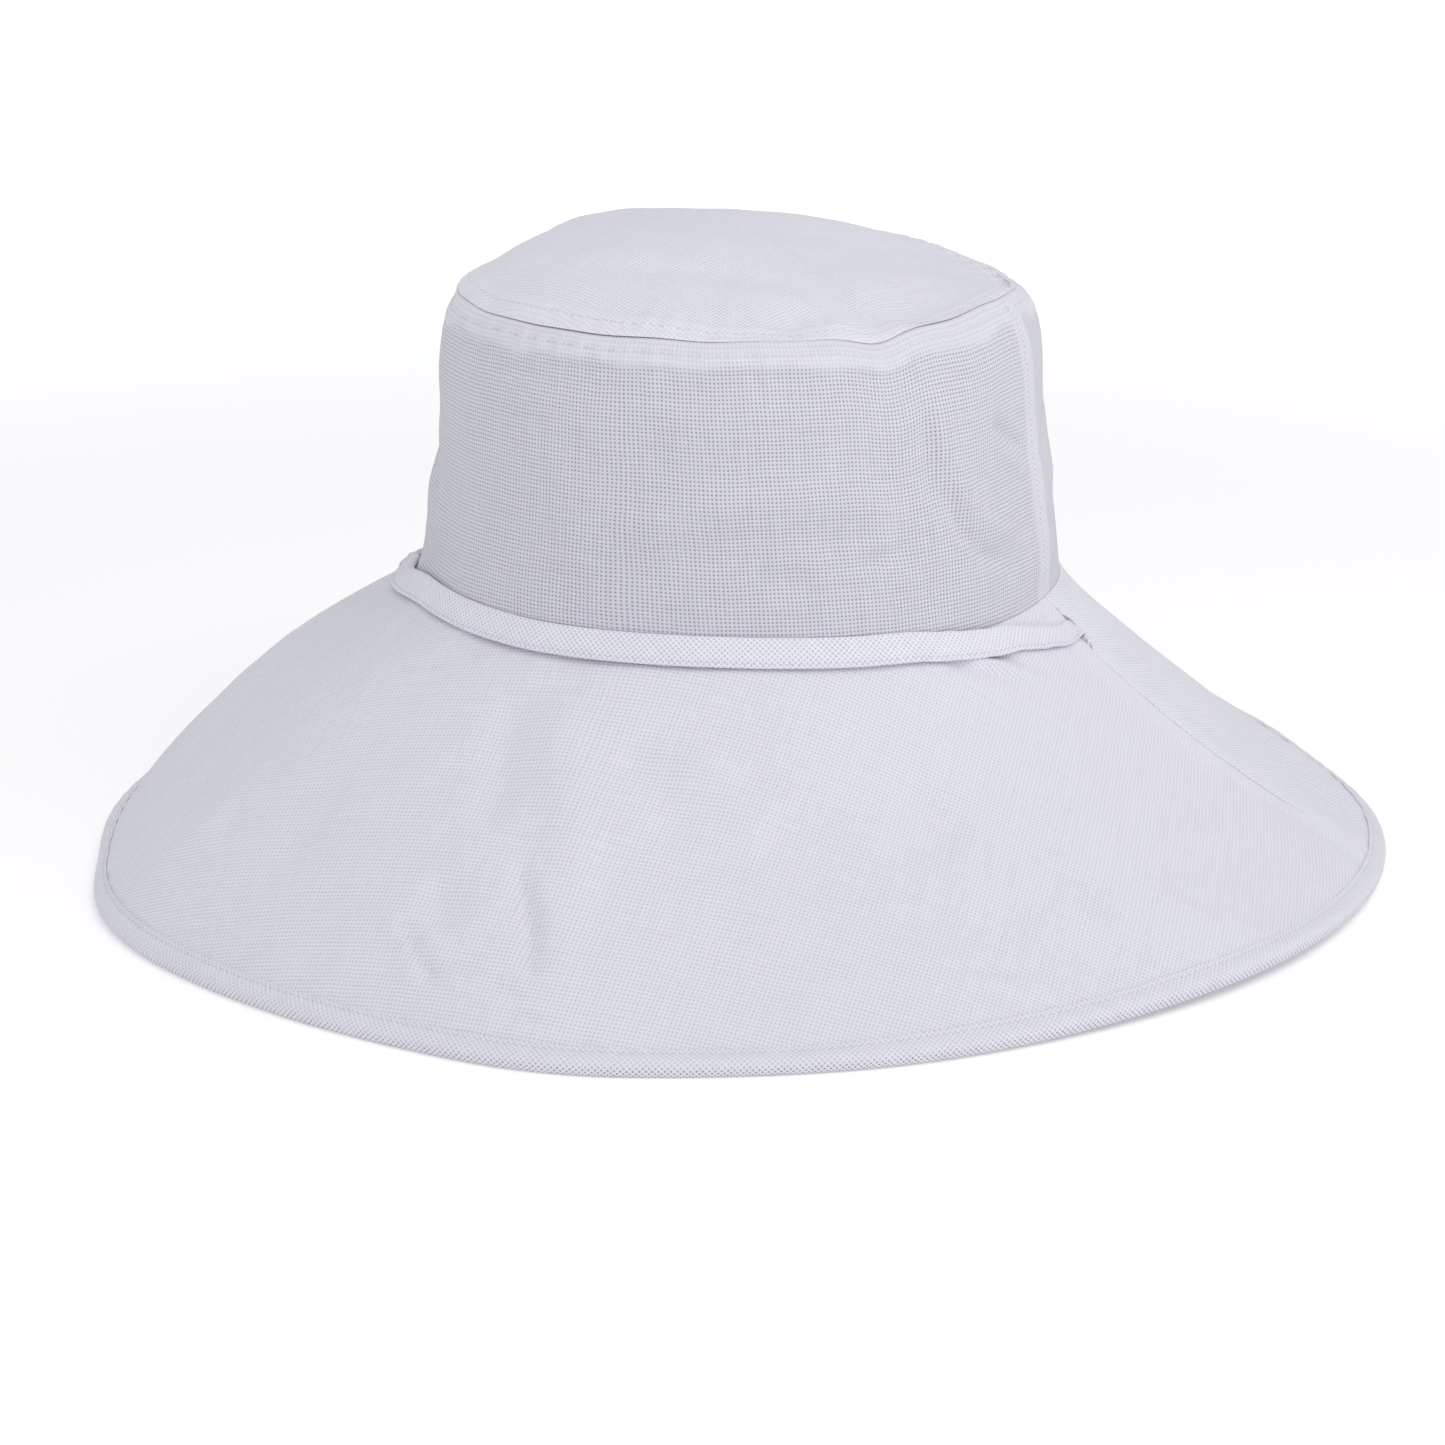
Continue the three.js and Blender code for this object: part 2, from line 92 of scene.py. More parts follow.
# ---- Brim shape ----
BELL_SAG = 1.2 * MM
BELL_BULGE_LEFT = 4.8 * MM
EDGE_DROOP = 1.8 * MM
DROOP_SCALE = 15
BRIM_START_GAP = 0.12 * MM
SEAM_DRIFT = 6.0

# ---- Cloth and trim ----
CLOTH = 0.8 * MM
INTERLINING = 0.6 * MM
LAYER_GAP = 0.4 * MM
STACK = 2 * CLOTH + INTERLINING + 2 * LAYER_GAP
TAPE_THICKNESS = 0.6 * MM
SWEATBAND_THICKNESS = 1 * MM
SWEATBAND_HEIGHT = 28 * MM
BINDING_REACH = 4.4 * MM
STITCH_MARGIN = 1.4 * MM
BINDING_PUFF = 0.1 * MM
BINDING_DIMPLE = 0.14 * MM
BINDING_HUG = 0.82 * MM
BINDING_HUG_INSIDE = 0.44 * MM
BINDING_BACKED = 0.7
ROLL_RADIUS = 2.8 * MM
ROLL_CENTRE_HEIGHT = 2.5 * MM
FILLER_CORD_RADIUS = 1.5 * MM
SEAM_GAP_ANGLE = 0.0006
BRIM_END_SLOPE = math.radians(50)
BRIM_END_INSET = ROLL_RADIUS - STACK / 2 * math.sin(BRIM_END_SLOPE)
BRIM_END_HEIGHT = ROLL_CENTRE_HEIGHT + STACK / 2 * math.cos(BRIM_END_SLOPE)

# ---- Tie ----
TIE_WIDTH = 8.4 * MM
TIE_THICKNESS = 1.8 * MM
TIE_REST_OFFSET = 2.2 * MM
TIE_LIES_OFFSET = 4.4 * MM
TIE_LEAN = 0.48
TIE_BRIM_GAP = 0.45 * MM
TIE_FOOT_GAP = 1.3 * MM
TIE_FOLLOWS_CROWN = 0.5
TIE_BRIDGES = 12
TIE_WAVE = 0.15 * MM
TIE_NARROWING = 0.24
BRIM_SLANT = 1.25
TIE_LIES_FROM = 0.5
TIE_LIES_BY = 0.84
TIE_LEAVES_CROWN = 0.78
TIE_LEAVES_CROWN_LEFT = 0.85
TIE_REACHES_SLIT = 0.975
TAIL_LENGTH = 380 * MM
TAIL_FLOOR_BEND = 20 * MM
TURN_RADIUS = 1.9 * MM
SLIT_START = 4.8 * MM
SLIT_LENGTH = 9.2 * MM
SLIT_HALF_GAP = 1.15 * MM
SLIT_CENTRE = BASE_HALF_WIDTH + SLIT_START + SLIT_LENGTH / 2
TACK_DISTANCE = 1.2 * MM
TACK_THREAD_RADIUS = 0.24 * MM

# ---- Folds: height and width in millimetres, then three places as (degrees, share of the panel) ----
SIDE_FOLDS = [
    (0.8, 6.0, (-8, 0.30), (22, 0.50), (57, 0.39)),
    (-0.6, 5.0, (-4, 0.20), (25, 0.36), (56, 0.29)),
    (-0.9, 4.5, (18, 0.27), (26, 0.24), (33, 0.28)),
    (0.5, 2.5, (36, 0.30), (43, 0.34), (50, 0.37)),
    (-0.5, 2.0, (38, 0.26), (45, 0.30), (52, 0.33)),
    (0.7, 3.5, (61, 0.84), (61, 0.60), (64, 0.38)),
    (-0.8, 3.0, (56, 0.82), (57, 0.58), (59, 0.36)),
    (-0.9, 2.5, (61, 0.62), (64, 0.32), (82, 0.16)),
    (0.7, 3.0, (65, 0.62), (68, 0.38), (85, 0.24)),
    (-0.9, 2.0, (73, 0.66), (79, 0.60), (88, 0.48)),
    (0.6, 2.5, (73, 0.58), (79, 0.52), (87, 0.41)),
    (-0.4, 5.0, (-4, 0.56), (0, 0.52), (4, 0.50)),
    (-0.6, 5.0, (-78, 0.62), (-60, 0.44), (-42, 0.36)),
    (0.5, 6.0, (-74, 0.40), (-58, 0.28), (-40, 0.24)),
    (-0.7, 4.0, (-128, 0.75), (-112, 0.50), (-120, 0.22)),
    (0.6, 7.0, (-140, 0.70), (-128, 0.48), (-136, 0.20)),
    (-0.7, 5.0, (108, 0.24), (132, 0.42), (160, 0.36)),
    (0.6, 7.0, (118, 0.62), (150, 0.70), (178, 0.56)),
    (-0.6, 5.0, (176, 0.40), (196, 0.52), (214, 0.40)),
    (0.5, 4.0, (98, 0.70), (104, 0.48), (100, 0.26)),
]
TIP_FOLDS = [
    (-0.7, 6.0, (-35, 0.86), (10, 0.60), (62, 0.80)),
    (0.6, 9.0, (-70, 0.55), (-20, 0.35), (40, 0.50)),
    (-0.6, 8.0, (110, 0.75), (150, 0.50), (200, 0.70)),
    (-0.6, 5.0, (28, 0.97), (34, 0.90), (40, 0.80)),
    (0.6, 4.0, (40, 0.96), (46, 0.90), (52, 0.82)),
    (-0.7, 6.0, (58, 0.97), (64, 0.90), (66, 0.80)),
]
BRIM_FOLDS = [
    (1.3, 7.0, (-5, 0.10), (0, 0.38), (7, 0.78)),
    (-1.2, 6.0, (-13, 0.10), (-10, 0.32), (-6, 0.52)),
    (-1.3, 2.2, (-3.5, 0.53), (0.5, 0.68), (4.5, 0.88)),
    (0.5, 2.6, (-1, 0.55), (3, 0.68), (7, 0.86)),
    (-1.0, 6.0, (-11, 0.64), (-8, 0.69), (-5, 0.75)),
    (0.6, 2.2, (-15, 0.72), (-10, 0.81), (-5, 0.90)),
    (-0.6, 2.0, (-13, 0.73), (-8, 0.82), (-3, 0.90)),
    (0.5, 2.0, (-11, 0.74), (-6, 0.82), (-1, 0.90)),
    (-0.5, 2.0, (-2, 0.82), (2, 0.88), (6, 0.94)),
    (-1.0, 6.0, (4, 0.20), (9, 0.33), (16, 0.48)),
    (0.9, 6.0, (11, 0.20), (18, 0.34), (24, 0.47)),
    (0.8, 6.0, (14, 0.50), (21, 0.61), (28, 0.72)),
    (-0.8, 7.0, (12, 0.72), (20, 0.80), (29, 0.84)),
    (-0.9, 8.0, (40, 0.32), (43, 0.42), (46, 0.54)),
    (-0.7, 1.6, (56, 0.04), (62, 0.09), (68, 0.15)),
    (0.7, 1.8, (60, 0.03), (66, 0.09), (72, 0.17)),
    (-0.7, 1.6, (64, 0.03), (71, 0.09), (77, 0.20)),
    (-0.6, 1.2, (36, 0.80), (43, 0.85), (49, 0.87)),
    (0.9, 8.0, (-41, 0.50), (-42, 0.65), (-41, 0.80)),
    (-0.9, 8.0, (-54, 0.45), (-53, 0.62), (-50, 0.78)),
    (-0.8, 9.0, (-30, 0.40), (-29, 0.60), (-27, 0.80)),
    (-1.1, 3.5, (120, 0.62), (107, 0.79), (99, 0.94)),
    (1.0, 4.5, (126, 0.64), (112, 0.82), (103, 0.95)),
    (-0.9, 4.5, (-104, 0.06), (-88, 0.45), (-72, 0.88)),
    (0.9, 5.5, (-112, 0.08), (-97, 0.48), (-80, 0.90)),
    (-1.0, 7.0, (150, 0.15), (158, 0.50), (154, 0.85)),
    (1.0, 9.0, (168, 0.15), (172, 0.50), (180, 0.88)),
    (-1.0, 7.0, (192, 0.20), (190, 0.55), (198, 0.86)),
    (0.9, 8.0, (214, 0.12), (222, 0.50), (216, 0.84)),
    (-1.0, 6.0, (236, 0.30), (232, 0.60), (240, 0.88)),
    (-0.8, 5.0, (134, 0.20), (138, 0.50), (134, 0.80)),
]
FOLD_STEPS = 12
FOLD_DEPTH = 1.5
FOLD_FADE = 0.3

# ---- Waves round the hat: height, then the middle and width in degrees ----
SEAM_WAVES = [(1.7, 88, 19), (-2.5, 50, 6.5), (-2.4, 128, 26), (-1.2, -88, 18)]
SEAM_GAPES = [(1.6, -8, 18), (1.0, 66, 12), (-0.85, 30, 18)]
SIDE_WAVES = [(-1.2, -72, 36)]
EDGE_LIFTS = [(2.4, 68, 22), (2.0, 190, 24)]
EDGE_SLACKS = [
    (3.0, -42, 13),
    (-5.0, -88, 24),
    (-5.5, 126, 14),
    (-2.5, -60, 9),
    (3.5, 6, 11),
    (-2.5, 50, 18),
]

# ---- Swells: height in millimetres, two numbers in degrees, then two as shares of the panel ----
TIP_SWELLS = [
    (-2.6, 75, 34, 0.86, 0.14),
    (-3.8, 112, 42, 0.66, 0.3),
    (-2.4, -80, 30, 0.9, 0.12),
    (2.0, -102, 28, 0.7, 0.2),
]
BRIM_SWELLS = [
    (3.0, -104, 32, 0.54, 0.2),
    (1.8, 112, 24, 0.34, 0.2),
    (-1.6, 112, 20, 0.78, 0.16),
]

# ---- Unevenness of the cloth: the size of each kind, then how high it stands ----
SIDE_HANDLING = [(55 * MM, 0.7 * MM, 3), (19 * MM, 0.15 * MM, 4)]
TIP_HANDLING = [(60 * MM, 0.8 * MM, 5), (21 * MM, 0.16 * MM, 6)]
BRIM_HANDLING = [(75 * MM, 1.0 * MM, 8), (24 * MM, 0.18 * MM, 9)]
HANDLING_WAVES = 14
SEAM_WANDER = 0.25
ALLOWANCE = 9 * MM
ALLOWANCE_LIFT = 0.35 * MM


class HatCloth(PropertyGroup):
    """Colours and thread sizes of the hat's cloths."""

    canvas_colour: FloatVectorProperty(
        name="Canvas", description="Colour of the outer cotton canvas",
        default=(0.80, 0.795, 0.86), subtype="COLOR", min=0, max=1)
    # Painted shade: the dark inside of the hat, seen through the holes of the weave.
    hole_shade_colour: FloatVectorProperty(
        name="Weave holes", description="Colour seen between the threads",
        default=(0.20, 0.19, 0.26), subtype="COLOR", min=0, max=1)
    lining_colour: FloatVectorProperty(
        name="Lining", description="Colour of the under brim and the tapes",
        default=(0.77, 0.765, 0.82), subtype="COLOR", min=0, max=1)
    # Darker than the canvas: painted shade of the hollows that the stitches sink into.
    shaded_thread_colour: FloatVectorProperty(
        name="Thread", description="Colour of the sewing thread",
        default=(0.72, 0.715, 0.78), subtype="COLOR", min=0, max=1)
    cord_colour: FloatVectorProperty(
        name="Filler cord", description="Colour of the cord inside the brim edge",
        default=(0.80, 0.78, 0.72), subtype="COLOR", min=0, max=1)
    label_colour: FloatVectorProperty(
        name="Label", description="Colour of the blank woven label",
        default=(0.84, 0.83, 0.80), subtype="COLOR", min=0, max=1)
    canvas_pitch: FloatProperty(
        name="Canvas pitch", description="Distance between the threads of the canvas",
        default=1.1 * MM, min=0.2 * MM, unit="LENGTH", precision=5)
    lining_pitch: FloatProperty(
        name="Lining pitch", description="Distance between the threads of the lining",
        default=0.7 * MM, min=0.2 * MM, unit="LENGTH", precision=5)
    stitch_pitch: FloatProperty(
        name="Stitch pitch", description="Distance from one stitch to the next",
        default=2.5 * MM, min=1 * MM, unit="LENGTH", precision=5)
    stitch_radius: FloatProperty(
        name="Stitch radius", description="Half the thickness of the sewing thread",
        default=0.13 * MM, min=0.05 * MM, unit="LENGTH", precision=5)


class HatStage(PropertyGroup):
    """The camera, the floor and the lights."""

    azimuth: FloatProperty(
        name="Azimuth", description="How far the camera stands round to the hat's right",
        default=math.radians(20), subtype="ANGLE")
    elevation: FloatProperty(
        name="Elevation", description="How far the camera stands above the crown's base",
        default=math.radians(15.1), subtype="ANGLE")
    distance: FloatProperty(
        name="Distance", description="From the camera to the middle of the crown's base",
        default=1.15, min=0.1, unit="LENGTH")
    lens: FloatProperty(
        name="Lens", description="Focal length of the camera in millimetres",
        default=99, min=10)
    look_down: FloatProperty(
        name="Look down", description="How far below the crown's base the camera aims",
        default=44.9 * MM, unit="LENGTH")
    look_left: FloatProperty(
        name="Look left", description="How far left of the crown's middle the camera aims",
        default=4.7 * MM, unit="LENGTH")
    key_power: FloatProperty(
        name="Key light", description="Power of the large light overhead in watts",
        default=7, min=0)
    side_power: FloatProperty(
        name="Side light", description="Power of the light on the hat's right in watts",
        default=1, min=0)
    sky: FloatProperty(
        name="Room light", description="Strength of the even light all round",
        default=0.66, min=0)
    floor_glow: FloatProperty(
        name="Floor glow", description="Light that the floor near the hat gives by itself",
        default=0.2, min=0)
    backdrop_glow: FloatProperty(
        name="Backdrop glow", description="Light that the far floor gives by itself",
        default=0.8, min=0)


# ---- Small tools for shapes ----

def smooth_step(low, high, x):
    """From 0 at low to 1 at high along 3t^2 - 2t^3."""
    t = np.clip((x - low) / (high - low), 0, 1)
    return t * t * (3 - 2 * t)


def hump(x, centre, width):
    """A bell curve of height 1: e to the power of minus the square of (x - centre) / width."""
    return np.exp(-((x - centre) / width) ** 2)


def turn_from(angle, degrees):
    """How far each angle lies from a place given in degrees, in degrees from -180 to 180."""
    return (np.degrees(angle) - degrees + 180) % 360 - 180


def waves(angle, rows):
    """The sum of bell curves round the hat, one for each row."""
    return sum(height * hump(turn_from(angle, middle), 0, width) for height, middle, width in rows)


def swells(angle, place, rows):
    """The sum of soft swells on a panel: a bell curve round the hat times one along the panel."""
    return MM * sum(
        height * hump(turn_from(angle, middle), 0, width) * hump(place, share, spread)
        for height, middle, width, share, spread in rows)


def unit(vectors):
    """Each vector divided by its length."""
    return vectors / np.maximum(np.linalg.norm(vectors, axis=-1, keepdims=True), 1e-12)


def oval(half_width, half_depth, squareness, angle):
    """A superellipse in plan: x = a sin^(2/n), y = -b cos^(2/n), each with its own sign."""
    power = 2 / squareness
    s = np.sin(angle)
    c = np.cos(angle)
    x = half_width * np.sign(s) * np.abs(s) ** power
    y = -half_depth * np.sign(c) * np.abs(c) ** power
    return np.stack([x, y, np.zeros_like(x)], axis=-1)


def outward(angle):
    """The level direction away from the hat's middle at each angle."""
    return np.stack([np.sin(angle), -np.cos(angle), np.zeros_like(angle)], axis=-1)


def raised(points, heights):
    """The points moved straight up by heights."""
    lifted = np.array(points)
    lifted[..., 2] += heights
    return lifted


def eased(low, high, steps, share=0.6):
    """Places from low to high that lie closer together near both ends: t - share sin(2 pi t) / 2 pi,
    where t runs evenly from 0 to 1."""
    t = np.linspace(0, 1, steps + 1)
    return low + (high - low) * (t - share * np.sin(2 * np.pi * t) / (2 * np.pi))


def fold_heights(angle, place, folds, radius, length):
    """The sum of soft ridges and valleys. Each follows a curve through three places on the panel
    laid flat, and is its height times e^-(distance / width)^2, fading at its two ends."""
    total = np.zeros_like(angle)
    along = place * length
    t = np.linspace(0, 1, FOLD_STEPS + 1)[:, None]
    for height, width, start, middle, end in folds:
        across = np.radians(turn_from(angle, middle[0])) * radius
        knots = [
            np.array([math.radians(degrees - middle[0]) * np.mean(radius), share * length])
            for degrees, share in (start, middle, end)
        ]
        bend = 2 * knots[1] - (knots[0] + knots[2]) / 2
        curve = (1 - t) ** 2 * knots[0] + 2 * t * (1 - t) * bend + t ** 2 * knots[2]
        nearest = np.full_like(angle, 1e9)
        travelled = np.zeros_like(angle)
        for i in range(FOLD_STEPS):
            step = curve[i + 1] - curve[i]
            x = across - curve[i][0]
            y = along - curve[i][1]
            part = np.clip((x * step[0] + y * step[1]) / (step @ step), 0, 1)
            apart = np.hypot(x - part * step[0], y - part * step[1])
            closer = apart < nearest
            nearest = np.where(closer, apart, nearest)
            travelled = np.where(closer, (i + part) / FOLD_STEPS, travelled)
        ends = smooth_step(0, FOLD_FADE, travelled) * smooth_step(1, 1 - FOLD_FADE, travelled)
        total += FOLD_DEPTH * height * MM * ends * hump(nearest, 0, width * MM)
    return total


def handling(points, size, amount, seed):
    """Slow unevenness from handling: a sum of sine waves in seeded directions through space."""
    draw = np.random.default_rng(seed)
    total = np.zeros(points.shape[:-1])
    for _ in range(HANDLING_WAVES):
        direction = draw.normal(size=3)
        direction /= np.linalg.norm(direction)
        wavelength = size * draw.uniform(0.6, 1.8)
        total += np.sin(2 * np.pi * (points @ direction) / wavelength + draw.uniform(0, 6.28))
    return total * amount / math.sqrt(HANDLING_WAVES)


def uneven(points, kinds):
    """Every kind of handling of a cloth, added up."""
    return sum(handling(points, size, amount, seed) for size, amount, seed in kinds)


def puckers(run, apart, reach, amount, spacing=7.5 * MM):
    """Small gathers that stand across a seam: a wandering sine along the seam times
    e^-(apart / reach)."""
    wander = 1.6 * np.sin(run / (21 * MM)) + 1.1 * np.sin(run / (13 * MM) + 1)
    strength = 0.6 + 0.4 * np.sin(run / (31 * MM) + 2)
    gathers = np.sin(2 * np.pi * run / spacing + wander)
    return amount * strength * gathers * np.exp(-np.abs(apart) / reach)


# ---- The hat's surfaces ----

def base_ring(angle, inset):
    """The line where crown and brim meet."""
    half_depth = BASE_HALF_WIDTH - BASE_DEPTH_LESS
    ring = oval(BASE_HALF_WIDTH - inset, half_depth - inset, BASE_SQUARENESS, angle)
    return raised(ring, BASE_HEIGHT)


def seam_ring(angle, inset):
    """The line where the crown's side and tip meet: an oval that falls a little to the right and
    back, with a dip at the right of the front and a rise at the right side seam."""
    ring = oval(SEAM_HALF_WIDTH - inset, SEAM_HALF_DEPTH - inset, SEAM_SQUARENESS, angle)
    wave = waves(angle, SEAM_WAVES) + SEAM_WANDER * np.sin(17 * angle) * np.sin(3 * angle + 1)
    return raised(ring, SEAM_HEIGHT - SEAM_FALL * (ring[..., 0] + ring[..., 1]) + wave * MM)


SIDE_LENGTH = SEAM_HEIGHT - BASE_HEIGHT
TIP_RADIUS = (SEAM_HALF_WIDTH + SEAM_HALF_DEPTH) / 2


def side_seam_distance(angle, radius):
    """How far each point lies from the nearer side seam, along the cloth."""
    return np.abs(np.abs(turn_from(angle, 0)) - 90) * math.pi / 180 * radius


def side_relief(angle, rise):
    """How far the crown's side stands out of its plain shape: folds, unevenness, a proud band where
    the seam allowance lies behind, a groove at each seam, and puckers along them."""
    down = (1 - rise) * SIDE_LENGTH
    up = rise * SIDE_LENGTH
    run = angle * TIP_RADIUS
    relief = fold_heights(angle, rise, SIDE_FOLDS, BASE_HALF_WIDTH * 0.93, SIDE_LENGTH)
    flat = np.stack([np.sin(angle), -np.cos(angle), rise * 0.9], axis=-1) * BASE_HALF_WIDTH
    relief += uneven(flat, SIDE_HANDLING) + waves(angle, SIDE_WAVES) * MM
    front = smooth_step(75, 40, np.abs(turn_from(angle, 3)))
    relief += (0.3 + 0.8 * front) * MM * smooth_step(8.5 * MM, 5.5 * MM, down)
    relief -= 0.8 * MM * front * hump(down, 13 * MM, 6 * MM)
    relief += puckers(run, down, 8 * MM, 0.42 * MM)
    apart = side_seam_distance(angle, BASE_HALF_WIDTH)
    relief += puckers(up, apart, 5 * MM, 0.22 * MM, 9 * MM)
    relief += ALLOWANCE_LIFT * smooth_step(ALLOWANCE, 6 * MM, apart)
    relief -= 0.9 * MM * hump(apart, 0, 0.9 * MM)
    relief -= 0.12 * MM * hump(down, 3 * MM, 0.7 * MM)
    relief += 1.0 * MM * np.sin(angle) * np.sin(math.pi * np.clip(rise, 0, 1))
    settled = smooth_step(0, 2.2 * MM, down) * smooth_step(-1 * MM, 12 * MM, up)
    return relief * settled


def crown_side(angle, rise, inset):
    """A straight line from base to seam, bowed by sin(pi v), with a shoulder that follows
    v^6 (1 - v), and moved out by its relief. rise goes from 0 at the base to 1 at the tip seam."""
    low = base_ring(angle, inset)
    high = seam_ring(angle, inset)
    points = low + (high - low) * rise[..., None]
    shoulder = SHOULDER_ROUNDING * SHOULDER_SCALE * rise ** 6 * (1 - rise)
    out = SIDE_BOW * np.sin(np.pi * rise) + shoulder + side_relief(angle, rise)
    return points + outward(angle) * out[..., None]


def tip_relief(angle, reach):
    """How far the crown's tip stands above its plain dome."""
    inward = (1 - reach) * TIP_RADIUS
    run = angle * TIP_RADIUS
    relief = fold_heights(angle, reach, TIP_FOLDS, TIP_RADIUS * 0.8, TIP_RADIUS)
    relief *= smooth_step(0.1, 0.4, reach)
    flat = outward(angle) * (reach * TIP_RADIUS)[..., None]
    relief += uneven(flat, TIP_HANDLING) + swells(angle, reach, TIP_SWELLS)
    relief += puckers(run + 3 * MM, inward, 8 * MM, 0.5 * MM)
    relief += 0.5 * MM * smooth_step(7.5 * MM, 5 * MM, inward)
    relief -= 0.5 * MM * hump(inward, 2.2 * MM, 0.9 * MM) * hump(turn_from(angle, -6), 0, 24)
    return relief * smooth_step(0, 2.2 * MM, inward)


def crown_tip(angle, reach, inset):
    """A flat-topped dome over the seam's oval: its height times (1 - r^flatness)^softness, fuller at
    the left and the front. reach goes from 0 in the middle to 1 at the seam."""
    middle = np.array([0, 0, SEAM_HEIGHT])
    rim = seam_ring(angle, inset)
    points = middle + (rim - middle) * reach[..., None]
    lean = 1 - reach * (DOME_LEAN_LEFT * np.sin(angle) - DOME_LEAN_FRONT * np.cos(angle))
    dome = np.maximum(1 - reach ** DOME_FLATNESS, 0) ** DOME_SOFTNESS
    return raised(points, (DOME_HEIGHT - inset) * dome * lean + tip_relief(angle, reach))


def edge_lift(angle):
    """How high the brim's edge floats above the surface the hat stands on: two soft waves."""
    return waves(angle, EDGE_LIFTS) * MM


def edge_ring(angle, inset):
    """The brim's outline in plan: an oval that is full at the front and at the left of the front,
    and slack at the left side and at the right of the back."""
    ring = oval(EDGE_HALF_WIDTH - inset, EDGE_HALF_DEPTH - inset, 2, angle)
    return ring + outward(angle) * (waves(angle, EDGE_SLACKS) * MM)[..., None]


def brim_shape(angle, out):
    """The brim's plain top surface: a straight line from crown to edge, pushed out at right angles
    by a bell of 4u(1 - u), which is fuller at the left, and by a droop that follows u^5 (1 - u)."""
    start = base_ring(angle, -BRIM_START_GAP)
    end = raised(edge_ring(angle, BRIM_END_INSET), BRIM_END_HEIGHT + edge_lift(angle))
    chord = end - start
    drop = -chord[..., 2]
    across = np.hypot(chord[..., 0], chord[..., 1])
    away = unit(np.stack([chord[..., 0] * drop, chord[..., 1] * drop, across ** 2], axis=-1))
    bell = (-BELL_SAG - BELL_BULGE_LEFT * np.sin(angle)) * 4 * out * (1 - out)
    droop = EDGE_DROOP * DROOP_SCALE * out ** 5 * (1 - out)
    return start + chord * out[..., None] + away * (bell + droop)[..., None]


def normal_of(surface, angle, place):
    """The upward direction square to a surface, from its two slopes by small differences."""
    step = 1e-3
    low = np.maximum(place - step, 0)
    high = np.minimum(place + step, 1)
    slope = surface(angle, high) - surface(angle, low)
    along = surface(angle + step, place) - surface(angle - step, place)
    return unit(-np.cross(along, slope)), unit(slope)


def brim_length(angle):
    """The straight distance across the brim at each angle."""
    zero = np.zeros_like(angle)
    return np.linalg.norm(brim_shape(angle, zero + 1) - brim_shape(angle, zero), axis=-1)


def seam_drift(hand, out):
    """How far round the brim's side seam lies from the quarter at each place: only the right one
    drifts back, more and more towards the edge."""
    return math.radians(SEAM_DRIFT) * smooth_step(0.15, 0.9, out) * (1 if hand > 0 else 0)


def brim_relief(angle, out):
    """How far the brim stands above its plain shape: folds, unevenness, and its side seams."""
    radius = BASE_HALF_WIDTH + out * (EDGE_HALF_WIDTH - BASE_HALF_WIDTH)
    length = brim_length(angle)
    relief = fold_heights(angle, out, BRIM_FOLDS, radius, np.mean(length))
    flat = outward(angle) * radius[..., None]
    relief += uneven(flat, BRIM_HANDLING) + swells(angle, out, BRIM_SWELLS)
    apart = side_seam_distance(angle - seam_drift(1, out) * (np.sin(angle) > 0), radius)
    relief += puckers(out * length, apart, 6 * MM, 0.22 * MM, 10 * MM)
    relief += ALLOWANCE_LIFT * smooth_step(ALLOWANCE, 6.5 * MM, apart)
    relief -= 0.6 * MM * hump(apart, 0, 0.7 * MM)
    relief += puckers(angle * EDGE_HALF_WIDTH, (0.93 - out) * length, 6 * MM, 0.18 * MM, 11 * MM)
    return relief * smooth_step(0, 0.04, out) * smooth_step(1, 0.95, out)


def brim_point(angle, out, above):
    """A point above the brim's top surface, or below it where above is negative."""
    normal, _ = normal_of(brim_shape, angle, out)
    return brim_shape(angle, out) + normal * (brim_relief(angle, out) + above)[..., None]


def cone_pattern(angle, out, middle):
    """Where a point of the brim lies on its flat pattern, a sector of a ring, with the grain
    straight down the sector's middle."""
    length = np.mean(brim_length(angle))
    spread = (EDGE_HALF_WIDTH - BASE_HALF_WIDTH) / length
    radius = BASE_HALF_WIDTH / spread + out * length
    turn = (angle - middle) * spread
    return np.stack([radius * np.sin(turn), -radius * np.cos(turn)], axis=-1)


def bias(run, across):
    """Flat-pattern places on cloth cut at 45 degrees to its threads."""
    return np.stack([run + across, run - across], axis=-1) * math.sqrt(0.5)


# ---- Mesh makers ----

def make_object(name, points, faces, uv, backing=None):
    """A mesh object from points, faces and one flat-pattern place for each corner."""
    mesh = bpy.data.meshes.new(name)
    mesh.from_pydata(points.tolist(), [], faces)
    layer = mesh.uv_layers.new(name="flat_pattern")
    layer.data.foreach_set("uv", uv.astype(np.float32).ravel())
    attribute = mesh.attributes.new("backing", "FLOAT", "POINT")
    if backing is not None:
        attribute.data.foreach_set("value", backing.astype(np.float32).ravel())
    mesh.shade_smooth()
    mesh.set_sharp_from_angle(angle=math.radians(50))
    mesh.update()
    piece = bpy.data.objects.new(name, mesh)
    bpy.context.scene.collection.objects.link(piece)
    return piece


def grid_faces(rows, columns, wrap_rows, wrap_columns):
    """The four-sided faces of a grid of points as point numbers, and as numbers into a pattern grid
    that has one more row or column where the points wrap round."""
    i, j = np.meshgrid(
        np.arange(rows if wrap_rows else rows - 1),
        np.arange(columns if wrap_columns else columns - 1), indexing="ij")
    corners = [(i, j), (i + 1, j), (i + 1, j + 1), (i, j + 1)]
    width = columns + int(wrap_columns)
    points = np.stack([(a % rows) * columns + b % columns for a, b in corners], axis=-1)
    pattern = np.stack([a * width + b for a, b in corners], axis=-1)
    return points.reshape(-1, 4), pattern.reshape(-1, 4)


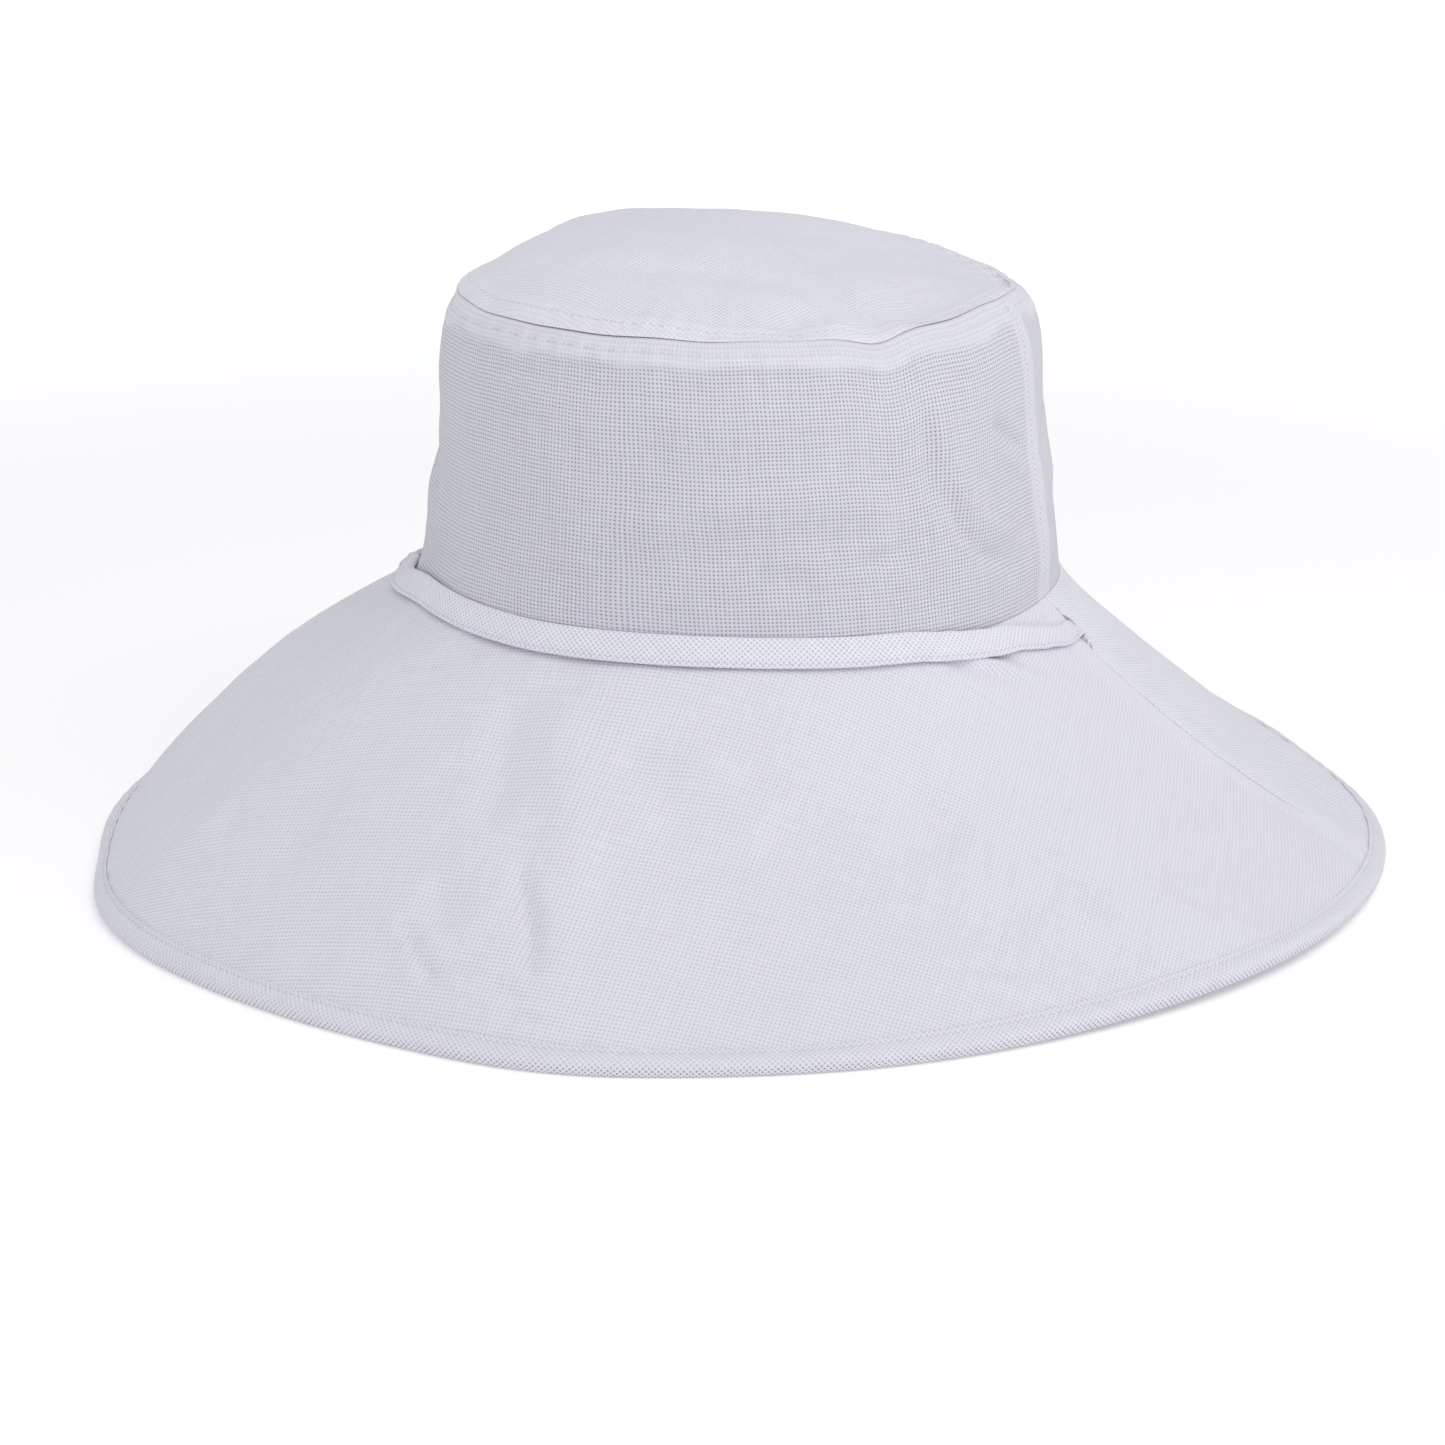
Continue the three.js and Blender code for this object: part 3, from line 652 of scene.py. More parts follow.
def carried(name, sections, uv, wrap=False, flip=False, backing=None):
    """A closed section carried along a path: sections[i, j] is point j of section i. Point j of a
    section lies opposite point -1 - j, which is how the two ends are closed."""
    rows, columns = sections.shape[:2]
    faces, pattern = grid_faces(rows, columns, wrap, True)
    corners = uv.reshape(-1, 2)[pattern].reshape(-1, 2)
    if flip:
        faces = faces[:, ::-1]
        corners = corners.reshape(-1, 4, 2)[:, ::-1].reshape(-1, 2)
    faces = faces.tolist()
    if not wrap:
        near = np.arange(columns // 2 - 1)
        far = columns - 1 - near
        for row, turned in ((0, flip), (rows - 1, not flip)):
            ends = np.stack([near, near + 1, far - 1, far], axis=-1)
            ends = ends[:, ::-1] if turned else ends
            faces += (ends + row * columns).tolist()
            corners = np.concatenate([corners, uv[row][ends].reshape(-1, 2)])
    return make_object(name, sections.reshape(-1, 3), faces, corners, backing)


def sheet_panel(name, outer, inner, uv, backing=None, wrap=False):
    """A panel of cloth as a closed body: its outer face, and its inner face behind it."""
    sections = np.concatenate([outer, inner[:, ::-1]], axis=1)
    both = np.concatenate([uv, uv[:, ::-1], uv[:, :1]], axis=1)
    behind = None if backing is None else np.concatenate([backing, backing[:, ::-1]], axis=1)
    return carried(name, sections, both, wrap, True, behind)


def strap_section(places, width_way, thick_way, narrow, sides=36):
    """A flat strap's section: a superellipse with a pinch where its edge is stitched. narrow gives
    each section's width as a share of the full one, and its cloth creases as it narrows."""
    turn = (np.arange(sides) + 0.5) / sides * 2 * np.pi
    c = np.cos(turn)
    s = np.sin(turn)
    w = np.sign(c) * np.abs(c) ** 0.45
    h = np.sign(s) * np.abs(s) ** 0.75 * (1 - 0.38 * hump(w, 0.72, 0.09) - 0.12 * hump(w, -0.1, 0.5))
    across = w * TIE_WIDTH / 2
    creases = 1 - 2.2 * (1 - narrow)[:, None] * (hump(w, 0.35, 0.1) + hump(w, 0.6, 0.08))
    wide = across * narrow[:, None]
    thick = h * creases * TIE_THICKNESS / 2
    sections = places[:, None] + width_way[:, None] * wide[..., None]
    return sections + thick_way[:, None] * thick[..., None], across


def strap(name, places, width_way, narrow):
    """A strap carried along its places, with its flat pattern cut on the bias."""
    travel = unit(np.gradient(places, axis=0))
    thick_way = unit(np.cross(width_way, travel))
    sections, across = strap_section(places, width_way, thick_way, narrow)
    run = np.concatenate([[0], np.cumsum(np.linalg.norm(np.diff(places, axis=0), axis=1))])
    around = np.append(across, across[0])
    uv = bias(run[:, None] + 0 * around, around + 0 * run[:, None])
    return carried(name, sections, uv)


def stitch_row(curve, normals, pitch, length):
    """The head, tail and normal of each stitch of a row that follows a curve."""
    run = np.concatenate([[0], np.cumsum(np.linalg.norm(np.diff(curve, axis=0), axis=1))])
    starts = np.arange(0.5 * (pitch - length), run[-1] - length, pitch)
    at = lambda s, values: np.stack([np.interp(s, run, values[:, k]) for k in range(3)], axis=-1)
    return at(starts, curve), at(starts + length, curve), unit(at(starts + length / 2, normals))


def stitches(name, rows, radius, body):
    """Every stitch of some rows as a six-sided thread that rises out of the cloth and dives back:
    its height is the radius times 1 - (2f - 1)^4 along its length f."""
    heads = np.concatenate([row[0] for row in rows])
    tails = np.concatenate([row[1] for row in rows])
    normals = np.concatenate([row[2] for row in rows])
    along = unit(tails - heads)
    side = unit(np.cross(normals, along))
    f = np.array([0, 0.1, 0.32, 0.68, 0.9, 1])
    thickness = radius * np.array([0.35, 0.85, 1, 1, 0.85, 0.35])
    rise = radius * (0.9 * (1 - (2 * f - 1) ** 4) - 0.5)
    turn = np.arange(6) / 6 * 2 * np.pi
    middle = heads[:, None] + (tails - heads)[:, None] * f[:, None] + normals[:, None] * rise[:, None]
    ring = side[:, None, None] * np.cos(turn)[:, None] + normals[:, None, None] * np.sin(turn)[:, None]
    points = middle[:, :, None] + ring * thickness[:, None, None]
    count = len(heads)
    first = (np.arange(count) * 36)[:, None, None]
    quads, _ = grid_faces(6, 6, False, True)
    quads = (quads[None, :, ::-1] + first).reshape(-1, 4)
    ends = np.stack([np.arange(6), 35 - np.arange(6)])
    ends = (ends[None] + first).reshape(-1, 6)
    faces = quads.tolist() + ends.tolist()
    spots = np.zeros((quads.size + ends.size, 2))
    piece = make_object(name, points.reshape(-1, 3), faces, spots)
    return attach(piece, body)


# ---- Materials ----

class NodeTree:
    """A material's nodes, with a short way to add and join them."""

    def __init__(self, name):
        self.material = bpy.data.materials.new(name)
        self.material.use_nodes = True
        self.tree = self.material.node_tree
        self.shader = self.tree.nodes["Principled BSDF"]

    def join(self, socket, value):
        """Sets an input socket to a value, or links it to another node's output."""
        if isinstance(value, bpy.types.NodeSocket):
            self.tree.links.new(value, socket)
        else:
            socket.default_value = value

    def node(self, kind, inputs=None, **settings):
        """Adds a node, sets its settings, and sets or links the inputs that are named."""
        made = self.tree.nodes.new("ShaderNode" + kind)
        for key, value in settings.items():
            setattr(made, key, value)
        for key, value in (inputs or {}).items():
            self.join(made.inputs[key], value)
        return made

    def sum(self, operation, *values):
        """A Math node's answer."""
        made = self.node("Math", dict(enumerate(values)), operation=operation)
        return made.outputs[0]

    def between(self, low, high, value):
        """A soft step of value from 0 at low to 1 at high."""
        made = self.node("MapRange", {"Value": value, "From Min": low, "From Max": high},
                         interpolation_type="SMOOTHSTEP")
        return made.outputs["Result"]

    def noise(self, place, scale, detail=2.0, roughness=0.5):
        """A noise pattern's value."""
        made = self.node("TexNoise", {"Vector": place, "Scale": scale, "Detail": detail,
                                      "Roughness": roughness})
        return made.outputs["Fac"]

    def mix(self, share, first, second, blend="MIX"):
        """A mix of two colours."""
        made = self.node("Mix", data_type="RGBA", blend_type=blend)
        self.join(made.inputs[0], share)
        self.join(made.inputs[6], first)
        self.join(made.inputs[7], second)
        return made.outputs[2]


def colour4(colour):
    """A colour with its alpha."""
    return (*colour, 1.0)


def weave(name, colour, holes, pitch, openness_and_shade=0.6, rough=0.9, sheen=0.12, depth=0.2 * MM, unbacked_shade=0):
    """Plain-woven cotton. Warp and weft are |sin| ridges at the thread pitch that take turns on top
    as sin u sin v changes sign, with a round hole where four threads meet, slubs that swell some
    threads, and a slow change of tone over the cloth. The holes are filled with painted shade, the
    dark inside of the hat seen through them, less where a second cloth lies behind, and the threads
    are painted a little darker where they dip, as painted shade between them. Where no second cloth
    lies behind it, the cloth is painted darker still by a given share, as painted shade from the dark
    inside showing through."""
    n = NodeTree(name)
    flat = n.node("UVMap", uv_map="flat_pattern").outputs["UV"]
    parts = n.node("SeparateXYZ", {"Vector": flat}).outputs
    slub_u = n.noise(n.node("Mapping", {"Vector": flat, "Scale": (900, 45, 1)}).outputs[0], 1.0, 1.0)
    slub_v = n.noise(n.node("Mapping", {"Vector": flat, "Scale": (45, 900, 1)}).outputs[0], 1.0, 1.0)
    drift = n.noise(flat, 110.0, 1.0)
    u = n.sum("ADD", n.sum("MULTIPLY", parts[0], math.pi / pitch), n.sum("MULTIPLY", drift, 1.6))
    v = n.sum("ADD", n.sum("MULTIPLY", parts[1], math.pi / pitch), n.sum("MULTIPLY", drift, -1.6))
    warp_side = n.sum("SINE", u)
    weft_side = n.sum("SINE", v)
    warp = n.sum("ABSOLUTE", warp_side)
    weft = n.sum("ABSOLUTE", weft_side)
    over = n.sum("MULTIPLY", warp_side, weft_side)
    warp_top = n.sum("MULTIPLY", n.sum("POWER", warp, 0.6), n.sum("MULTIPLY_ADD", over, 0.38, 0.6))
    weft_top = n.sum("MULTIPLY", n.sum("POWER", weft, 0.6), n.sum("MULTIPLY_ADD", over, -0.38, 0.6))
    height = n.sum("MAXIMUM", warp_top, weft_top)
    gap = n.sum("ADD", n.sum("MULTIPLY", warp, warp), n.sum("MULTIPLY", weft, weft))
    slubs = n.sum("SUBTRACT", n.sum("ADD", slub_u, slub_v), 1.0)
    gap = n.sum("MULTIPLY_ADD", slubs, 0.28, gap)
    backed = n.node("Attribute", attribute_name="backing").outputs["Fac"]
    # How much painted shade shows in the holes: the share set for each finish, none where a second cloth
    # lies behind.
    shown = n.sum("MULTIPLY", n.sum("SUBTRACT", 1.0, backed), openness_and_shade)
    hole = n.sum("MULTIPLY", n.between(0.72, 0.22, gap), shown)
    place = n.node("TexCoord").outputs["Object"]
    tone = n.noise(place, 22.0, 3.0, 0.6)
    # Threads painted darker where they dip below their neighbours: painted shade between the threads.
    # Tone and slubs below are the cloth's own.
    shade = n.sum("MULTIPLY_ADD", height, 0.10, 0.90)
    shade = n.sum("MULTIPLY", shade, n.sum("MULTIPLY_ADD", tone, 0.05, 0.975))
    shade = n.sum("MULTIPLY", shade, n.sum("MULTIPLY_ADD", slubs, 0.06, 1.0))
    # Painted shade where no second cloth lies behind: the dark inside of the hat showing through darkens
    # the cloth.
    shade = n.sum("MULTIPLY", shade, n.sum("MULTIPLY_ADD", backed, unbacked_shade, 1 - unbacked_shade))
    grey = n.node("CombineColor", {"Red": shade, "Green": shade, "Blue": shade}).outputs[0]
    threads = n.mix(1.0, colour4(colour), grey, "MULTIPLY")
    n.join(n.shader.inputs["Base Color"], n.mix(hole, threads, colour4(holes)))
    n.join(n.shader.inputs["Roughness"], n.sum("MULTIPLY_ADD", slubs, 0.08, rough))
    fibres = n.noise(flat, 5200.0, 2.0, 0.6)
    surface = n.sum("MULTIPLY_ADD", fibres, 0.18, n.sum("SUBTRACT", height, hole))
    bump = n.node("Bump", {"Height": surface, "Distance": depth, "Strength": 0.7})
    n.join(n.shader.inputs["Normal"], bump.outputs[0])
    n.shader.inputs["Sheen Weight"].default_value = sheen
    n.shader.inputs["Sheen Roughness"].default_value = 0.6
    n.shader.inputs["Specular IOR Level"].default_value = 0.25
    return n.material


def twisted(name, colour, pitch, rough=0.75):
    """Spun thread or cord: fine slanting plies on Object coordinates, fibres and a slow tone."""
    n = NodeTree(name)
    place = n.node("TexCoord").outputs["Object"]
    plies = n.node("TexWave", {"Vector": place, "Scale": 0.3 / pitch, "Distortion": 1.5,
                               "Detail": 1.0}, bands_direction="DIAGONAL")
    fibres = n.noise(place, 6000.0, 2.0, 0.6)
    tone = n.noise(place, 35.0, 2.0)
    shade = n.sum("MULTIPLY_ADD", plies.outputs["Fac"], 0.14, 0.82)
    shade = n.sum("MULTIPLY_ADD", tone, 0.08, shade)
    grey = n.node("CombineColor", {"Red": shade, "Green": shade, "Blue": shade}).outputs[0]
    n.join(n.shader.inputs["Base Color"], n.mix(1.0, colour4(colour), grey, "MULTIPLY"))
    n.join(n.shader.inputs["Roughness"], n.sum("MULTIPLY_ADD", fibres, 0.12, rough))
    height = n.sum("MULTIPLY_ADD", fibres, 0.3, plies.outputs["Fac"])
    bump = n.node("Bump", {"Height": height, "Distance": 0.04 * MM, "Strength": 0.6})
    n.join(n.shader.inputs["Normal"], bump.outputs[0])
    n.shader.inputs["Sheen Weight"].default_value = 0.1
    return n.material


def floor_paper(name, near_glow, far_glow):
    """Matt pale studio paper with a very faint grain. Its own light grows from near_glow around
    the hat to far_glow where the paper is lit as a backdrop."""
    n = NodeTree(name)
    place = n.node("TexCoord").outputs["Object"]
    grain = n.noise(place, 400.0, 2.0)
    away = n.node("VectorMath", {0: place}, operation="LENGTH").outputs["Value"]
    share = n.between(0.4, 1.6, away)
    glow = n.sum("MULTIPLY_ADD", share, far_glow - near_glow, near_glow)
    n.join(n.shader.inputs["Emission Strength"], glow)
    n.join(n.shader.inputs["Roughness"], n.sum("MULTIPLY_ADD", grain, 0.05, 0.9))
    n.shader.inputs["Base Color"].default_value = (0.93, 0.93, 0.935, 1)
    n.shader.inputs["Specular IOR Level"].default_value = 0.1
    n.shader.inputs["Emission Color"].default_value = (1, 1, 1, 1)
    return n.material


def material_of(kind):
    """The finish of one kind of cloth or thread, made the first time it is asked for."""
    name = f"{kind}_finish"
    if name in bpy.data.materials:
        return bpy.data.materials[name]
    cloth = bpy.context.scene.hat_cloth
    canvas, holes, lining = cloth.canvas_colour, cloth.hole_shade_colour, cloth.lining_colour
    coarse, fine = cloth.canvas_pitch, cloth.lining_pitch
    # The crown's sides get a darker copy of the canvas: painted shade on the crown's walls. The brim's
    # canvas is the lit copy of the same cloth.
    shaded_canvas = [0.95 * value for value in canvas]
    pale_canvas = [1.05 * value for value in canvas]
    makers = {
        # Painted shade: darker colour, more shade in the holes and where nothing lies behind.
        "crown_canvas": lambda k: weave(k, shaded_canvas, holes, coarse, 0.62, unbacked_shade=0.08),
        "brim_canvas": lambda k: weave(k, canvas, holes, coarse, 0.23),
        "under_brim_canvas": lambda k: weave(k, lining, holes, coarse, 0.24),
        "inner_cotton": lambda k: weave(k, lining, holes, fine, 0.35),
        "bias_tape": lambda k: weave(k, lining, holes, fine, 0.3),
        "bias_binding": lambda k: weave(k, canvas, holes, coarse, 0.85),
        "tie_cloth": lambda k: weave(k, pale_canvas, holes, coarse, 0.36),
        "interlining": lambda k: weave(k, lining, holes, coarse * 1.3, 0.9, 0.8, 0.0, 0.2 * MM),
        "woven_label": lambda k: weave(k, cloth.label_colour, lining, fine * 0.5, 0.2, 0.5, 0.2),
        "filler_cord": lambda k: twisted(k, cloth.cord_colour, 1 * MM, 0.85),
        # The thread carries painted shade: darker than the canvas to show the shadows of the stitch
        # hollows.
        "thread": lambda k: twisted(k, cloth.shaded_thread_colour, 0.5 * MM, 0.6),
    }
    return makers[kind](name)


def dress(piece, kind, body="hat", nodes=(), finish=None):
    """Gives a piece its finish, puts it on its body, and hides the CAD nodes it stands for. The
    finish is that of its kind, or of another kind that is a lit or shaded copy of the same cloth."""
    piece.data.materials.append(material_of(finish or kind))
    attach(piece, body)
    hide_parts(*nodes)
    return piece


# ---- The camera, the floor and the lights ----

KEY_PLACE = (0.6, -0.45, 1.35)
KEY_SIZE = 1.1
SIDE_PLACE = (1.5, -0.2, 0.8)
SIDE_SIZE = 1.0
FLOOR_HALF = 15.0


def add_area_light(name, place, aim, size, power, colour):
    """A square soft light that faces a point."""
    light = bpy.data.lights.new(name, "AREA")
    light.shape = "SQUARE"
    light.size = size
    light.energy = power
    light.color = colour
    lamp = bpy.data.objects.new(name, light)
    lamp.location = place
    lamp.rotation_mode = "QUATERNION"
    lamp.rotation_quaternion = (Vector(aim) - Vector(place)).to_track_quat("-Z", "Y")
    bpy.context.scene.collection.objects.link(lamp)


class HAT_OT_stage(Operator):
    """Add the camera, the pale floor and the soft studio lights"""

    bl_idname = "hat.stage"
    bl_label = "Stage"

    def execute(self, context):
        stage = context.scene.hat_stage
        aim = Vector((0, 0, BASE_HEIGHT))
        sin_a, cos_a = math.sin(stage.azimuth), math.cos(stage.azimuth)
        sin_e, cos_e = math.sin(stage.elevation), math.cos(stage.elevation)
        back = Vector((sin_a * cos_e, -cos_a * cos_e, sin_e))
        right = Vector((cos_a, sin_a, 0))
        up = back.cross(right)
        data = bpy.data.cameras.new("camera")
        data.lens = stage.lens
        data.clip_start = 0.01
        camera = bpy.data.objects.new("camera", data)
        camera.location = aim + back * stage.distance
        target = aim - right * stage.look_left - up * stage.look_down
        camera.rotation_mode = "QUATERNION"
        camera.rotation_quaternion = (target - camera.location).to_track_quat("-Z", "Y")
        context.scene.collection.objects.link(camera)
        context.scene.camera = camera

        half = FLOOR_HALF
        points = np.array([(-half, -half, 0), (half, -half, 0), (half, half, 0), (-half, half, 0)])
        floor = make_object("floor", points, [(0, 1, 2, 3)], points[:, :2])
        floor.data.materials.append(floor_paper("floor_paper", stage.floor_glow, stage.backdrop_glow))

        world = bpy.data.worlds.new("room")
        world.use_nodes = True
        world.node_tree.nodes["Background"].inputs["Color"].default_value = (0.97, 0.98, 1, 1)
        world.node_tree.nodes["Background"].inputs["Strength"].default_value = stage.sky
        context.scene.world = world
        crown = (0, 0, BASE_HEIGHT)
        add_area_light("key", KEY_PLACE, crown, KEY_SIZE, stage.key_power, (1, 0.99, 0.98))
        add_area_light("side", SIDE_PLACE, crown, SIDE_SIZE, stage.side_power, (1, 1, 1))
        context.scene.view_settings.view_transform = "Standard"
        return {"FINISHED"}


# ---- The tie ----

def slit_share(side, distance):
    """The share of the brim's side seam that lies within a level distance of the crown."""
    out = np.linspace(0, 0.5, 2001)
    reached = side * brim_shape(np.full_like(out, side * QUARTER), out)[:, 0] - BASE_HALF_WIDTH
    return np.interp(distance, reached, out)


def brim_share(angle, distance):
    """The share of the brim that lies within a level distance of the crown at each angle: a first
    guess from the side seam, put right twice by how far it really reaches."""
    share = slit_share(1, distance)
    middle = np.linalg.norm(base_ring(angle, 0)[..., :2], axis=-1)
    for _ in range(2):
        reached = np.linalg.norm(brim_shape(angle, share)[..., :2], axis=-1) - middle
        share = share * distance / np.maximum(reached, 0.5 * MM)
    return share


def tie_places(angle):
    """The strap's middle line and width direction: leaning on the crown at the front, lying down on
    the brim towards the sides, and out over the slits at its ends. Its lower edge rests on the
    brim, and it bridges the small hollows of both."""
    half = TIE_WIDTH / 2
    turned = np.abs(angle) / QUARTER
    lies = smooth_step(TIE_LIES_FROM, TIE_LIES_BY, turned)
    leaves = np.where(angle < 0, TIE_LEAVES_CROWN_LEFT, TIE_LEAVES_CROWN)
    share = smooth_step(leaves, TIE_REACHES_SLIT, turned)
    around = np.radians(np.linspace(-TIE_BRIDGES, TIE_BRIDGES, 5))
    rise = np.full_like(angle, TIE_WIDTH / SIDE_LENGTH)
    crown = np.mean([crown_side(angle + a, rise, 0) - base_ring(angle + a, 0) for a in around], axis=0)
    stand = TIE_REST_OFFSET + TIE_FOLLOWS_CROWN * (crown * outward(angle)).sum(axis=-1)
    stand += (TIE_LIES_OFFSET - stand) * lies
    stand += (SLIT_START + SLIT_LENGTH / 2 - stand) * share
    leaning = unit(outward(angle) * TIE_LEAN - np.array([0, 0, 1]))
    _, slope = normal_of(brim_shape, angle, brim_share(angle, stand))
    width = unit(leaning * (1 - lies)[:, None] + slope * lies[:, None])
    foot = stand + half * np.hypot(width[:, 0], width[:, 1])
    under = brim_share(angle, foot)
    relief = np.mean([brim_relief(angle + a, under) for a in around], axis=0)
    resting = brim_shape(angle, under)[:, 2] + relief - half * width[:, 2]
    clear = TIE_FOOT_GAP * (1 - lies) + (TIE_THICKNESS / 2 + TIE_BRIM_GAP) * BRIM_SLANT * lies
    wave = TIE_WAVE * np.sin(3.1 * angle + 0.8) * (1 - share)
    return raised(base_ring(angle, -stand), resting + clear + wave - BASE_HEIGHT), width


def tail_top(side):
    """The height at which a tail takes over from the front run, inside its slit."""
    places, _ = tie_places(np.array([side * QUARTER, side * QUARTER]))
    return places[0][2] - 3 * MM


def tie_end(side, places, widths):
    """The stretch at one end of the front run: level to the slit, then a quarter turn down."""
    last = places[-1] if side > 0 else places[0]
    width = widths[-1] if side > 0 else widths[0]
    t = np.linspace(0, 1, 7)[1:]
    reach = -TURN_RADIUS
    level = last + np.outer(t, [side * SLIT_CENTRE - last[0], reach - last[1], 0])
    turn = np.linspace(0, QUARTER, 9)[1:]
    bend = np.stack([
        np.full_like(turn, side * SLIT_CENTRE),
        reach + TURN_RADIUS * np.sin(turn),
        last[2] - TURN_RADIUS * (1 - np.cos(turn)),
    ], axis=-1)
    down = np.array([[side * SLIT_CENTRE, 0, tail_top(side)]])
    added = np.concatenate([level, bend, down])
    share = np.linspace(0, 1, len(added))[:, None]
    ways = unit(width * (1 - share) + np.array([side, 0, 0]) * share)
    return added, ways


def front_run():
    """The whole front run of the tie, from inside the left slit to inside the right one."""
    reached = np.linspace(-TIE_REACHES_SLIT, TIE_REACHES_SLIT, 301)
    places, widths = tie_places(reached * QUARTER)
    left, left_ways = tie_end(-1, places, widths)
    right, right_ways = tie_end(1, places, widths)
    at_end = smooth_step(TIE_LEAVES_CROWN, TIE_REACHES_SLIT, np.abs(reached))
    narrow = 1 - TIE_NARROWING * at_end
    return (
        np.concatenate([left[::-1], places, right]),
        np.concatenate([left_ways[::-1], widths, right_ways]),
        np.pad(narrow, len(left), mode="edge"),
    )


def tail_route(side):
    """A tail's middle line and width direction: straight down, a quarter turn, then round inside
    the brim on the floor, as far as its length reaches."""
    x = side * SLIT_CENTRE
    top = tail_top(side)
    floor = TIE_THICKNESS / 2 + LAYER_GAP
    leg = top - floor - TAIL_FLOOR_BEND
    arc = (TAIL_LENGTH - leg - TAIL_FLOOR_BEND * QUARTER) / SLIT_CENTRE
    s = np.linspace(0, 1, 25)
    drop = np.stack([x + 0 * s, 0 * s, top - leg * s], axis=-1)
    a = np.linspace(0, QUARTER, 17)[1:]
    bend = np.stack([
        x + 0 * a,
        side * TAIL_FLOOR_BEND * (1 - np.cos(a)),
        floor + TAIL_FLOOR_BEND * (1 - np.sin(a)),
    ], axis=-1)
    b = np.linspace(0, arc, 121)[1:]
    ring = np.stack([
        side * SLIT_CENTRE * np.cos(b),
        side * TAIL_FLOOR_BEND + side * SLIT_CENTRE * np.sin(b),
        floor + 0 * b,
    ], axis=-1)
    level = np.tile([1.0, 0.0, 0.0], (len(s) + len(a), 1))
    round_ways = np.stack([np.cos(b), np.sin(b), 0 * b], axis=-1)
    return np.concatenate([drop, bend, ring]), np.concatenate([level, round_ways])


class HAT_OT_tie_tails(Operator):
    """Lay the tie's two free tails down through the slits and round inside the brim"""

    bl_idname = "hat.tie_tails"
    bl_label = "Tie tails"

    def execute(self, context):
        for hand, side in (("left", -1), ("right", 1)):
            route, ways = tail_route(side)
            tail = strap(f"tail_{hand}", route, ways, np.ones(len(route)))
            tail.data.materials.append(material_of("tie_cloth"))
            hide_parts(f"tie_tail_{hand}")
            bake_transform(tail)
        return {"FINISHED"}


class HAT_OT_tie_front(Operator):
    """Lay the tie's front run round the crown's base and into the slits"""

    bl_idname = "hat.tie_front"
    bl_label = "Tie front run"

    def execute(self, context):
        dress(strap("front_run", *front_run()), "tie_cloth", "tie", ["tie_front_run"])
        return {"FINISHED"}


# ---- The crown ----

def side_pattern(angle, rise, middle):
    """The crown's side laid flat: the run along its base, and the height."""
    return np.stack([(angle - middle) * BASE_HALF_WIDTH * 0.94, rise * SIDE_LENGTH], axis=-1)


def tucked(rows, edge_rows):
    """Rows of a panel followed by the few that turn its edge into the seam."""
    return np.concatenate([rows, edge_rows], axis=1)


def seam_edge(angle, lift):
    """A panel's edge where it turns in at the tip seam: four rows that run inwards by up to 1.7 mm
    and come together with the other panel's edge. The seam gapes a little left of the front and at
    its right, and lies shut between them."""
    insets = np.array([0.1, 0.4, 1.0, 1.7]) * MM
    heights = np.array([0.12, 0.06, 0.04, 0.03]) * MM * lift
    gape = 1 + waves(angle, SEAM_GAPES)
    rows = [raised(seam_ring(angle, inset), height * gape) for inset, height in zip(insets, heights)]
    return np.stack(rows, axis=1)


class HAT_OT_crown_tip(Operator):
    """Sew the crown's domed tip"""

    bl_idname = "hat.crown_tip"
    bl_label = "Crown tip"

    def execute(self, context):
        steps = 420
        angle = np.linspace(0, 2 * np.pi, steps, endpoint=False)
        reach = np.concatenate([np.linspace(0.01, 0.88, 52), np.linspace(0.885, 0.994, 22)])
        a, r = np.meshgrid(angle, reach, indexing="ij")
        outer = tucked(crown_tip(a, r, 0), seam_edge(angle, 1))
        inner = raised(crown_tip(a, r, 1.2 * CLOTH), -0.2 * CLOTH)[:, ::-1]
        ring = np.concatenate([outer, inner], axis=1)
        poles = np.array([
            ring[:, 0].mean(axis=0) + [0, 0, 0.02 * MM],
            ring[:, -1].mean(axis=0),
        ])
        rows, columns = ring.shape[:2]
        faces, pattern = (numbers[:, ::-1] for numbers in grid_faces(rows, columns, True, False))
        flat = np.concatenate([ring, ring[:1]], axis=0)[..., :2]
        turn = math.radians(25)
        flat = flat @ np.array([[math.cos(turn), math.sin(turn)], [-math.sin(turn), math.cos(turn)]])
        corners = flat.reshape(-1, 2)[pattern].reshape(-1, 2)
        around = np.arange(rows)
        after = (around + 1) % rows
        total = rows * columns
        top = np.stack([np.full(rows, total), after * columns, around * columns], axis=-1)
        low = np.stack([np.full(rows, total + 1), around * columns + columns - 1,
                        after * columns + columns - 1], axis=-1)
        spots = np.concatenate([flat[:-1].reshape(-1, 2), np.zeros((2, 2))])
        caps = np.concatenate([top, low])
        corners = np.concatenate([corners, spots[caps].reshape(-1, 2)])
        points = np.concatenate([ring.reshape(-1, 3), poles])
        inward = (1 - np.minimum(reach, 1)) * TIP_RADIUS
        near = np.concatenate([smooth_step(6.5 * MM, 5 * MM, inward), np.ones(4), np.ones(len(reach))])
        backing = np.concatenate([np.tile(near * 0.6, rows), [0, 0]])
        piece = make_object("tip_panel", points, faces.tolist() + caps.tolist(), corners, backing)
        # The tip is crown cloth but takes the brim's finish, the lighter lit copy of the canvas; the
        # crown's sides keep the darker painted-shade copy.
        dress(piece, "crown_canvas", "hat", ["crown_tip"], finish="brim_canvas")
        return {"FINISHED"}


